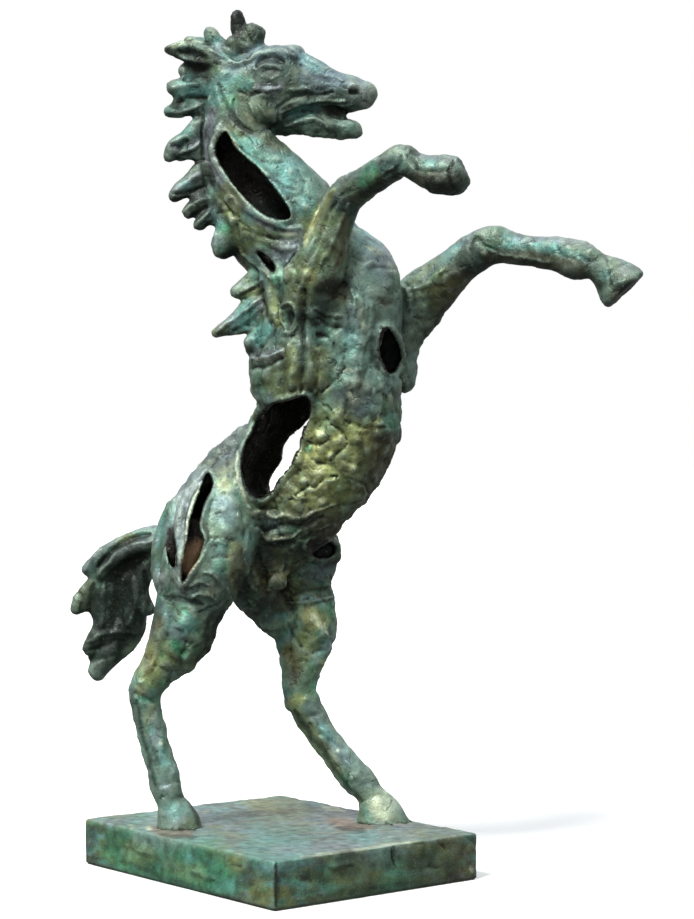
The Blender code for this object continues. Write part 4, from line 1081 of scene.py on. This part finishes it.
def body_forms(clay):
    """Adds the trunk, the head, the legs, the mane and the tail."""
    for stations in (TRUNK, CROUP, BREAST, NEAR_SHOULDER, FAR_SHOULDER, FAR_HAUNCH, INNER_THIGH):
        add_form(clay, stations, TRUNK_LEFT, sides=BROAD_SIDES)
    add_form(clay, NECK, NECK_LEFT, sides=BROAD_SIDES)
    add_form(clay, HEAD, HEAD_LEFT, sides=BROAD_SIDES)
    add_form(clay, JAW, HEAD_LEFT)
    for stations in (NEAR_FORE, FAR_FORE, NEAR_HIND, FAR_HIND, FAR_HOCK, SHEATH, *HAMSTRINGS.values()):
        add_form(clay, stations)
    for stations in (NEAR_FORE_HOOF, FAR_FORE_HOOF, NEAR_HIND_HOOF, FAR_HIND_HOOF):
        add_form(clay, stations, flat_end=True)
    for stations in (*TUFTS, *MANE, *SHOULDER_LOCKS, *TAIL):
        add_form(clay, stations)
    for stations in MANE:
        if len(stations) > 2 and stations[0][0] < CREST_END:
            add_form(clay, far_lock(stations))
    for side in (-1, 1):
        for stations in FACE.values():
            add_form(clay, on_head(stations, side))
    for stations in (NEAR_EAR, FAR_EAR, TONGUE):
        add_form(clay, on_head(stations))


def skin_points(skin, outline, from_behind):
    """Where the lines of sight through an outline meet the skin, evened out along the outline."""
    depths = []
    for right, up in outline:
        near, far = at(right, up, -SIGHT_REACH), at(right, up, SIGHT_REACH)
        start, towards = (far, near - far) if from_behind else (near, far - near)
        hit = skin.ray_cast(start, towards.normalized())[0]
        missed = depths[-1] if depths else SIGHT_SHARE
        depths.append((hit - near).length / (far - near).length if hit else missed)
    for _ in range(3):
        around = zip(depths[-1:] + depths[:-1], depths, depths[1:] + depths[:1])
        depths = [(a + 2 * b + c) / 4 for a, b, c in around]
    aways = [-SIGHT_REACH + 2 * SIGHT_REACH * depth for depth in depths]
    return [at(right, up, away) for (right, up), away in zip(outline, aways)]


def array_of(items, name, width=3, kind=float):
    """One property of every item of a mesh, as an array."""
    values = np.empty(len(items) * width, kind)
    items.foreach_get(name, values)
    return values.reshape(-1, width)


def surface_of(mesh):
    """The places and the normals of a mesh's vertices, and which of them its edges join."""
    return (
        array_of(mesh.vertices, "co"),
        array_of(mesh.vertices, "normal"),
        array_of(mesh.edges, "vertices", 2, np.int32),
    )


def move_to(mesh, places):
    mesh.vertices.foreach_set("co", places.ravel())
    mesh.update()


def evened(values, edges, rounds):
    """The values with each one drawn half way to the mean of its neighbours, so many times over."""
    ends = np.concatenate([edges, edges[:, ::-1]])
    count = np.maximum(np.bincount(ends[:, 0], minlength=len(values)), 1)
    columns = [np.array(column) for column in values.reshape(len(values), -1).T]
    for _ in range(rounds):
        means = [np.bincount(ends[:, 0], column[ends[:, 1]], len(column)) / count for column in columns]
        columns = [(column + mean) / 2 for column, mean in zip(columns, means)]
    return np.stack(columns, axis=1).reshape(values.shape)


def sunken(points, normals, edges, rounds):
    """How far each point lies below the evened skin, in squares."""
    return ((evened(points, edges, rounds) - points) * normals).sum(axis=1) / SQUARE


def sheet_places(points):
    """Where points lie on the sheet: squares from its left side and squares from its top."""
    across = points @ np.array(screen_direction(1, 0)) / SQUARE
    spread = 1 + points @ np.array(AWAY) / SQUARE / EYE_DISTANCE
    height = (points[:, 2] - SLAB_THICKNESS - SEAT_GAP) / SQUARE
    right = EYE_RIGHT + (across - EYE_RIGHT) / spread
    up = EYE_UP + (height - EYE_UP) / spread
    return np.stack([right - SHEET_LEFT, SHEET_TOP - up], axis=1)


def seen_from(eye_away, points, normals, tree):
    """How squarely each point faces the eye in front, or one as far behind; 0 where something hides it."""
    eye = np.array(screen_direction(EYE_RIGHT, -EYE_DISTANCE, EYE_UP)) * SQUARE
    eye[2] += SLAB_THICKNESS + SEAT_GAP
    sight = (eye - points) * eye_away
    sight /= np.linalg.norm(sight, axis=1)[:, None]
    facing = (normals * sight).sum(axis=1)
    seen = np.clip(facing / FULL_FACING, 0, 1)
    for i in np.nonzero(facing > EDGE_ON)[0]:
        if tree.ray_cast(Vector(points[i] + normals[i] * SKIN_GRAIN), Vector(sight[i]))[0] is not None:
            seen[i] = 0
    return seen


def stroke(sheet, width, marks):
    """The places on the sheet near a stroke, and how far off its middle line each is, in half widths."""
    line = np.array(curve_through(marks, CURVE_STEPS) if len(marks) > 1 else marks * 2)
    low, high = line.min(axis=0) - 2 * width, line.max(axis=0) + 2 * width
    near = np.nonzero(((sheet > low) & (sheet < high)).all(axis=1))[0]
    off = np.full(len(near), FAR_OFF)
    for k, (start, end) in enumerate(zip(line, line[1:])):
        run = end - start
        share = np.clip((sheet[near] - start) @ run / max(run @ run, TINY), 0, 1)
        gap = np.hypot(*(sheet[near] - start - share[:, None] * run).T)
        swell = 1 if len(marks) == 1 else 0.5 + 0.5 * np.sin(pi * (k + share) / (len(line) - 1)) ** TAPER
        off = np.minimum(off, gap / (width * swell))
    return near, off


def dome(off):
    """1 on a stroke's middle line, falling smoothly to 0 at its edge."""
    return np.clip(1 - off**2, 0, 1) ** 2


def by_hand(points, sheet):
    """The sheet a little wavering, so that no stroke comes out ruled."""
    shake = [
        sum(far * cloudy(points, size * SQUARE, octaves, offset) for far, size, octaves in SHAKES)
        for offset in SHAKE_PLACES
    ]
    return sheet + np.stack(shake, axis=1)


def modelled(sheet, table):
    """The height that a table's modelling strokes give each place on the sheet, in squares."""
    height = np.zeros(len(sheet))
    for strokes in table.values():
        for lift, width, *marks in strokes:
            dug = lift < 0
            near, off = stroke(sheet, width * (GROOVE_WIDTH if dug else 1), marks)
            height[near] += lift * (GROOVE_DEPTH if dug else RIDGE_HEIGHT) * dome(off)
            if dug:
                height[near] -= PUSHED_UP * lift * np.exp(-(((off - BANK) / BANK_WIDTH) ** 2))
    return height


def within(sheet, outline):
    """Whether each place on the sheet lies inside a closed outline of right and up squares."""
    inside = np.zeros(len(sheet), bool)
    right, up = sheet[:, 0] + SHEET_LEFT, SHEET_TOP - sheet[:, 1]
    for start, end in zip(outline, [*outline[1:], outline[0]]):
        crossed = (start[1] > up) != (end[1] > up)
        where = start[0] + (up - start[1]) * (end[0] - start[0]) / ((end[1] - start[1]) or TINY)
        inside ^= crossed & (right < where)
    return inside


def painted(sheet, base, table):
    """The base value of each place, drawn towards the value of each stroke of the table in turn."""
    values = np.array(base, float)
    for value, strokes in table:
        for strength, width, *marks in strokes:
            near, off = stroke(sheet, width, marks)
            share = strength * (1 - step(off, *PAINT_EDGE))
            if values.ndim == 2:
                share = share[:, None]
            values[near] += (np.array(value) - values[near]) * share
    return values


def scattered(points, spacing, rng):
    """A subset of the points, about the spacing apart."""
    order = rng.permutation(len(points))
    cells = np.floor(points[order] / spacing + rng.random(3)).astype(int)
    _, first = np.unique(cells, axis=0, return_index=True)
    return points[order[np.sort(first)]]


def pats(points, size, rng):
    """Relief like pats of clay pressed on, in parts of 1: domes of uneven height and tilt, and creases."""
    waver = [cloudy(points, WAVER_SIZE * size, 1, offset) for offset in WAVER_PLACES]
    points = points + WAVER * size * np.stack(waver, axis=1)
    seeds = scattered(points, size, rng)
    tree = KDTree(len(seeds))
    for i, seed in enumerate(seeds):
        tree.insert(seed, i)
    tree.balance()
    found = [tree.find_n(Vector(point), 2) for point in points]
    cells = np.array([[near[1] for near in pair] for pair in found])
    reach = np.array([[near[2] for near in pair] for pair in found]) / size
    lift = rng.random(len(seeds)) ** PAT_UNEVENNESS
    tilt = rng.normal(0, PAT_TILT, (len(seeds), 3))
    slope = ((points[:, None] - seeds[cells]) * tilt[cells]).sum(axis=2) / size
    own, other = (lift[cells] * (PAT_TOP - PAT_FALL * reach**2) + slope).T
    inward = step(reach[:, 1] - reach[:, 0], 0, PAT_JOINT)
    crease = np.clip(3 * lift[cells[:, 0]] * lift[cells[:, 1]], 0, 1) * (1 - inward) ** 2
    return own * (0.5 + 0.5 * inward) + other * (0.5 - 0.5 * inward) - PAT_CREASE * crease


def cloudy(points, size, octaves=3, offset=0.0):
    """Smooth noise, from about -1 to 1, whose lumps are about the size."""
    shift = Vector((offset, 2 * offset, -offset))
    return np.array([noise.fractal(Vector(point) / size + shift, 1.0, 2.0, octaves) for point in points])


def step(values, low, high):
    """0 below the low value, 1 above the high one, and smooth between."""
    share = np.clip((values - low) / (high - low), 0, 1)
    return share * share * (3 - 2 * share)


def sky_share(points, normals, tree, rng, rays=8):
    """How open each point is: the share of short rays from it that meet nothing."""
    clear = np.zeros(len(points))
    for _ in range(rays):
        ways = unit(normals + RAY_SPREAD * unit(rng.normal(0, 1, points.shape)))
        for i in range(len(points)):
            start = Vector(points[i] + normals[i] * SKIN_GRAIN)
            clear[i] += tree.ray_cast(start, Vector(ways[i]), RAY_LENGTH)[0] is None
    return clear / rays


def unit(vectors):
    return vectors / np.maximum(np.linalg.norm(vectors, axis=1), TINY)[:, None]


def shade(name):
    """A colour of the palette, in the linear scale of a shader."""
    return tuple((channel / 255) ** 2.2 for channel in PALETTE[name])


def drawn_to(colours, name, weight):
    """The colours, each drawn as far as its weight says to one of the palette."""
    return colours + (np.array(shade(name)) - colours) * weight[:, None]


def horse_solid():
    """The horse's skin before its relief: forms, rims, hollow and openings."""
    clay = new_clay()
    body_forms(clay)
    model = mesh_object("solid_clay", clay)
    fuse(model, FORM_GRAIN, 2)
    skin = BVHTree.FromObject(model, bpy.context.evaluated_depsgraph_get())
    clay = new_clay(finished_mesh(model))
    for name, radius in RIMS.items():
        add_ring(clay, skin_points(skin, outline_of(name), name == "loin_far"), radius * SQUARE)
    rimmed = mesh_object("rimmed_clay", clay)
    fuse(rimmed, FORM_GRAIN, 1)
    clay = new_clay()
    for stations, left in HOLLOWS.values():
        add_form(clay, stations, left, inset=CAST_WALL)
    cavity = mesh_object("cavity", clay)
    clay = new_clay()
    for window in WINDOWS.values():
        add_window(clay, window["outline"], window["away"])
    for stations in (on_head(NEAR_EAR_PIT), on_head(NOSTRIL_PIT), on_head(NOSTRIL_PIT, -1)):
        add_form(clay, stations)
    windows = mesh_object("windows", clay)
    for cutter in (cavity, windows):
        fuse(cutter, FORM_GRAIN, 2)
        modifier(rimmed, "BOOLEAN", operation="DIFFERENCE", object=cutter, solver="MANIFOLD")
    clay = new_clay(finished_mesh(rimmed))
    for stations in INNER_PLATES:
        add_form(clay, stations)
    opened = mesh_object("opened_clay", clay)
    fuse(opened, SKIN_GRAIN, 1)
    mesh = finished_mesh(opened)
    for helper in (model, rimmed, cavity, windows, opened):
        bpy.data.objects.remove(helper)
    return mesh


def tree_of(mesh):
    return BVHTree.FromPolygons(
        [vertex.co for vertex in mesh.vertices], [polygon.vertices for polygon in mesh.polygons]
    )


def give_relief(mesh):
    """Moves the skin's vertices out and in by the modelling strokes, the clay pats and the grit."""
    rng = np.random.default_rng(SEED)
    points, normals, edges = surface_of(mesh)
    tree = tree_of(mesh)
    sheet = sheet_places(points)
    front, behind = (
        evened(seen_from(side, points, normals, tree), edges, SEEN_ROUNDS) for side in (1, -1)
    )
    pressure = 1.0 + PRESSURE_CHANGE * cloudy(points, PRESSURE_SIZE * SQUARE, 2, PRESSURE_PLACE)
    strokes = modelled(by_hand(points, sheet), STROKES) * pressure * (front + BEHIND_SHARE * behind)
    rough = painted(sheet, np.full(len(points), 1.0), ROUGHNESS)
    big = pats(points, PAT * SQUARE, rng)
    small = pats(points, SMALL_PAT * SQUARE, rng)
    grit = cloudy(points, GRIT * SQUARE, 4)
    lumps = cloudy(points, LUMP * SQUARE, 2, LUMP_PLACE)
    height = PAT_HEIGHT * big + SMALL_PAT_HEIGHT * small + GRIT_HEIGHT * grit + LUMP_HEIGHT * lumps
    height = strokes + rough * height
    move_to(mesh, points + evened(normals, edges, NORMAL_ROUNDS) * (height * SQUARE)[:, None])


def cut_level(mesh, level):
    """Cuts a mesh off flat below the level."""
    clay = new_clay(mesh)
    everything = clay.verts[:] + clay.edges[:] + clay.faces[:]
    cut = bmesh.ops.bisect_plane(
        clay, geom=everything, plane_co=(0, 0, level), plane_no=(0, 0, 1), clear_inner=True
    )
    rim = [edge for edge in cut["geom_cut"] if isinstance(edge, bmesh.types.BMEdge)]
    bmesh.ops.holes_fill(clay, edges=rim)
    bmesh.ops.triangulate(clay, faces=clay.faces)
    clay.to_mesh(mesh)
    clay.free()


def thinned(obj, triangles):
    """Leaves the object about so many triangles."""
    now = sum(len(face.vertices) - 2 for face in obj.data.polygons)
    modifier(obj, "DECIMATE", ratio=min(1.0, triangles / now))
    settle(obj)


def patina(mesh, paint, base, low, high, rubbed_and_lit, drawn_out=1):
    """Paints the mesh: clouds of verdigris, patches laid on in turn, a painted sky sheen above and painted
    shade below, creases darkened as patina and as painted shade, edges lightened as wear and as painted
    highlight, and painted shade inside the hollow and its openings.
    """
    rng = np.random.default_rng(SEED)
    points, normals, edges = surface_of(mesh)
    tree = tree_of(mesh)
    colours = np.full((len(points), 3), shade(base))
    for name, share, size, octaves, offset, least, most in CLOUDS:
        veil = step(cloudy(points * (1, 1, drawn_out), size * SQUARE, octaves, offset), least, most)
        colours = drawn_to(colours, name, share * veil)
    # Painted light: a sheen of the sky on what faces up, and painted shade on what faces down
    colours = drawn_to(colours, "violet grey", PAINTED_SKY_SHEEN * step(normals[:, 2], *FACES_UP))
    colours = drawn_to(colours, "underside shade brown", PAINTED_UNDERSIDE_SHADE * step(-normals[:, 2], *FACES_DOWN))
    flat_sheet = sheet_places(points)
    sheet = by_hand(points, flat_sheet)
    table, inner_table = (
        [(shade(name), strokes) for name, strokes in kind] for kind in (paint, INNER_PAINT)
    )
    # Patches of patina colour, with painted highlights and painted shade among them; the last layer waits
    # till after the creases and edges
    colours = painted(sheet, colours, table[:-1])
    # Painted light and shade, region by region
    colours *= painted(sheet, np.ones(len(points)), PAINTED_LIGHT_AND_SHADE)[:, None]
    mottle = MOTTLE * cloudy(points, MOTTLE_SIZE * SQUARE, 3, MOTTLE_PLACE)
    colours *= np.clip(1 + mottle, *MOTTLE_LIMITS)[:, None]

    def shown_by(depth, strength, start, full):
        return step(depth, start * low, full * high) * strength

    fine, broad = (sunken(points, normals, edges, rounds) for rounds in (FINE_ROUNDS, BROAD_ROUNDS))
    sunk = shown_by(fine, *FINE_CREASE) + shown_by(broad, *BROAD_CREASE)
    # Edges lighten patchily, as wear and as painted highlight
    worn = 0.5 + 0.5 * step(cloudy(points, EDGE_WEAR_AND_HIGHLIGHT_SIZE * SQUARE, 3, EDGE_WEAR_AND_HIGHLIGHT_PLACE), *EDGE_WEAR_AND_HIGHLIGHT_SPAN)
    edge_wear_and_highlight = (shown_by(-fine, *FINE_EDGE) + shown_by(-broad, *BROAD_EDGE)) * worn * rubbed_and_lit
    # Creases darken, as patina in the hollows and as painted shade
    colours = drawn_to(colours, "crease patina and shade", np.clip(sunk, 0, MOST_SUNK))
    colours = drawn_to(colours, "rubbed edge", np.clip(edge_wear_and_highlight, 0, MOST_PROUD))
    # The last layer of patches, mostly painted shade, laid over the creases and edges
    colours = painted(sheet, colours, table[-1:])
    # Painted shade: places inside the hollow that see little sky are drawn to the dark inside colour
    open_share = evened(sky_share(points, normals, tree, rng), edges, SEEN_ROUNDS)
    colours = drawn_to(colours, "inside", 1 - step(open_share, *INSIDE_SHADE_SPAN))
    # Painted shade: what is seen through an opening gets the dark inside colour, and the plates and patches
    # inside are laid over it
    facing = normals @ -np.array(AWAY) > FACES_EYE
    for name in WINDOWS:
        if name != "loin_far":
            shaded_through_opening = facing & within(flat_sheet, outline_of(name))
            colours[shaded_through_opening] = shade("inside")
            colours[shaded_through_opening] = painted(sheet[shaded_through_opening], colours[shaded_through_opening], inner_table)
    layer = mesh.color_attributes.new("patina", "FLOAT_COLOR", "POINT")
    layer.data.foreach_set("color", np.concatenate([colours, np.ones((len(points), 1))], axis=1).ravel())


def feed(tree, node, inputs):
    """Gives a node's inputs their values, or links them to the outputs of others."""
    for socket, value in inputs.items():
        if isinstance(value, bpy.types.NodeSocket):
            tree.links.new(value, node.inputs[socket])
        else:
            node.inputs[socket].default_value = value


def add_node(tree, kind, inputs, **settings):
    """Adds a node of that kind with its settings and inputs."""
    made = tree.nodes.new("ShaderNode" + kind)
    for name, value in settings.items():
        setattr(made, name, value)
    feed(tree, made, inputs)
    return made


def mapped(tree, value, *span):
    """The value with its first two numbers of the span brought to the last two."""
    ends = dict(zip(("From Min", "From Max", "To Min", "To Max"), span))
    return add_node(tree, "MapRange", {"Value": value, **ends}).outputs["Result"]


def bronze(name, roughness, metallic, nicked):
    """A weathered bronze whose colour is painted on the mesh, with fine mottling, nicks and grain."""
    made = bpy.data.materials.new(name)
    made.use_nodes = True
    tree = made.node_tree
    place = add_node(tree, "TexCoord", {}).outputs["Object"]

    def clouds(scale, detail=6.0, rough=0.6):
        inputs = {"Vector": place, "Scale": scale, "Detail": detail, "Roughness": rough}
        return add_node(tree, "TexNoise", inputs).outputs["Fac"]

    def worked_out(operation, first, second):
        return add_node(tree, "Math", {0: first, 1: second}, operation=operation).outputs["Value"]

    def mixed(share, colour, name):
        inputs = {"Factor": share, MIX_A: colour, MIX_B: (*shade(name), 1)}
        return add_node(tree, "Mix", inputs, data_type="RGBA").outputs[MIX_RESULT]

    bend = add_node(tree, "TexNoise", {"Vector": place, "Scale": NICK_SCALE}).outputs["Color"]
    bent = add_node(tree, "VectorMath", {0: bend, 1: (NICK_BEND,) * 3, 2: place}, operation="MULTIPLY_ADD")
    cells = {"Vector": bent.outputs["Vector"], "Scale": NICK_SCALE}
    network = add_node(tree, "TexVoronoi", cells, feature="DISTANCE_TO_EDGE").outputs["Distance"]
    nicks = worked_out(
        "MULTIPLY",
        mapped(tree, network, 0.0, NICK_WIDTH, 1.0, 0.0),
        mapped(tree, clouds(NICK_FIELD, 2.0), *NICK_SHARE, 0.0, nicked),
    )
    colour = add_node(tree, "Attribute", {}, attribute_name="patina").outputs["Color"]
    for name, scale, least, most, share in SPECKLES:
        colour = mixed(mapped(tree, clouds(scale), least, most, 0.0, share), colour, name)
    gloss = (roughness - GLOSSIER, roughness + DULLER)
    grain = worked_out("SUBTRACT", clouds(*GRAIN), nicks)
    bump = add_node(tree, "Bump", {"Strength": BUMP, "Distance": BUMP_DEPTH, "Height": grain})
    feed(tree, tree.nodes["Principled BSDF"], {
        "Base Color": mixed(nicks, colour, "crease patina and shade"),
        "Roughness": mapped(tree, clouds(GLOSS_SCALE), *GLOSS_SPAN, *gloss),
        "Metallic": metallic,
        "Normal": bump.outputs["Normal"],
    })
    return made


def dress(obj, finish, node):
    """Gives a finished piece its material and puts it in its node's place on the frame."""
    obj.data.materials.clear()
    obj.data.materials.append(finish)
    for polygon in obj.data.polygons:
        polygon.use_smooth = True
    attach(obj, "root")
    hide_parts(node)


def make_horse():
    mesh = horse_solid()
    give_relief(mesh)
    cut_level(mesh, SLAB_THICKNESS + SEAT_GAP)
    horse = shown("horse_skin", mesh)
    thinned(horse, SKIN_TRIANGLES)
    patina(horse.data, HORSE_PAINT, "dark green", *HORSE_CREASES, HORSE_EDGE_WEAR_AND_HIGHLIGHT)
    dress(horse, bronze("verdigris_bronze", *HORSE_METAL), "horse")


def make_slab():
    """The slab, with wavy worn edges, a trowelled top and a low mound of metal round each hoof."""
    rng = np.random.default_rng(SEED)
    low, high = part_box("slab")
    clay = new_clay()
    bmesh.ops.create_cube(clay, size=1.0)
    bmesh.ops.scale(clay, vec=Vector(high) - Vector(low), verts=clay.verts)
    bmesh.ops.translate(clay, vec=(Vector(high) + Vector(low)) / 2, verts=clay.verts)
    slab = mesh_object("slab_skin", clay)
    modifier(slab, "BEVEL", width=SLAB_EDGE_ROUND, segments=3)
    modifier(slab, "REMESH", mode="VOXEL", voxel_size=SLAB_GRAIN)
    settle(slab)
    points, normals, edges = surface_of(slab.data)
    normals = unit(evened(normals, edges, NORMAL_ROUNDS))
    swells = cloudy(points, SWELL * SQUARE, 2)
    dents = cloudy(points, DENT * SQUARE, 3)
    height = SWELL_HEIGHT * swells + DENT_HEIGHT * dents
    height += SLAB_PAT_HEIGHT * pats(points, PAT * SQUARE, rng)
    height -= SLAB_LET_DOWN
    on_top = step(normals[:, 2], *SLAB_TOP)
    for hoof in (NEAR_HIND_HOOF, FAR_HIND_HOOF):
        middle = np.array(at(hoof[-1][0], 0, hoof[-1][2]))
        reach = np.hypot(*(points - middle)[:, :2].T) / SQUARE
        crumbs = CRUMB_BED + CRUMB_HEIGHT * cloudy(points, CRUMB * SQUARE, 2, CRUMB_PLACE)
        height += on_top * crumbs * MOUND_HEIGHT * np.clip(1 - (reach / MOUND_REACH), 0, 1) ** MOUND_SLOPE
    height += modelled(by_hand(points, sheet_places(points)), SLAB_STROKES)
    height *= step(points[:, 2], 0.0, SLAB_FOOT)
    move_to(slab.data, points + normals * (height * SQUARE)[:, None])
    thinned(slab, SLAB_TRIANGLES)
    patina(slab.data, SLAB_PAINT, "slab green", *SLAB_CREASES, SLAB_EDGE_WEAR_AND_HIGHLIGHT, SLAB_DRAWN_OUT)
    dress(slab, bronze("slab_bronze", *SLAB_METAL), "slab")


def make_floor():
    """A wide pale floor."""
    clay = new_clay()
    bmesh.ops.create_circle(clay, cap_ends=True, segments=FLOOR_SIDES, radius=FLOOR_RADIUS)
    floor = mesh_object("studio_floor", clay)
    paper = bpy.data.materials.new("pale_paper")
    paper.use_nodes = True
    tree = paper.node_tree
    feed(tree, tree.nodes["Principled BSDF"], {"Base Color": PAPER_COLOUR, "Roughness": PAPER_ROUGHNESS})
    floor.data.materials.append(paper)
    floor.visible_diffuse = floor.visible_glossy = False


def make_light():
    """A surround that is brighter above and even white behind the piece, and the two lights."""
    world = bpy.data.worlds.new("studio")
    world.use_nodes = True
    tree = world.node_tree
    place = add_node(tree, "TexCoord", {}).outputs["Generated"]
    way = add_node(tree, "SeparateXYZ", {"Vector": place}).outputs["Z"]
    height = mapped(tree, way, *LIGHT_SPAN, LOW_LIGHT, HIGH_LIGHT)
    to_camera = add_node(tree, "LightPath", {}).outputs["Is Camera Ray"]
    level = add_node(tree, "Mix", {0: to_camera, 2: height, 3: BACKDROP_LIGHT}).outputs[0]
    feed(tree, tree.nodes["Background"], {"Color": (1.0, 1.0, 1.0, 1), "Strength": level})
    bpy.context.scene.world = world
    bpy.context.scene.view_settings.view_transform = "Standard"
    for name, colour, strength, spread, (right, away, up) in LIGHTS:
        light = bpy.data.lights.new(name, "SUN")
        light.color = colour
        light.energy = strength
        light.angle = radians(spread)
        lamp = shown(name, light)
        lamp.rotation_euler = (-screen_direction(right, away, up)).to_track_quat("-Z", "Y").to_euler()


def make_camera():
    camera = bpy.data.cameras.new("camera")
    camera.lens = CAMERA_LENS
    camera.sensor_width = CAMERA_SENSOR
    seat = shown("camera", camera)
    turn, dip = radians(CAMERA_TURN), radians(CAMERA_DIP)
    across = Vector((cos(turn), sin(turn), 0))
    ahead = Vector((-sin(turn) * cos(dip), cos(turn) * cos(dip), -sin(dip)))
    axes = Matrix((across, across.cross(ahead), -ahead)).transposed()
    seat.matrix_world = Matrix.Translation(CAMERA_PLACE) @ axes.to_4x4()
    bpy.context.scene.camera = seat


make_floor()
make_light()
make_camera()
make_slab()
make_horse()
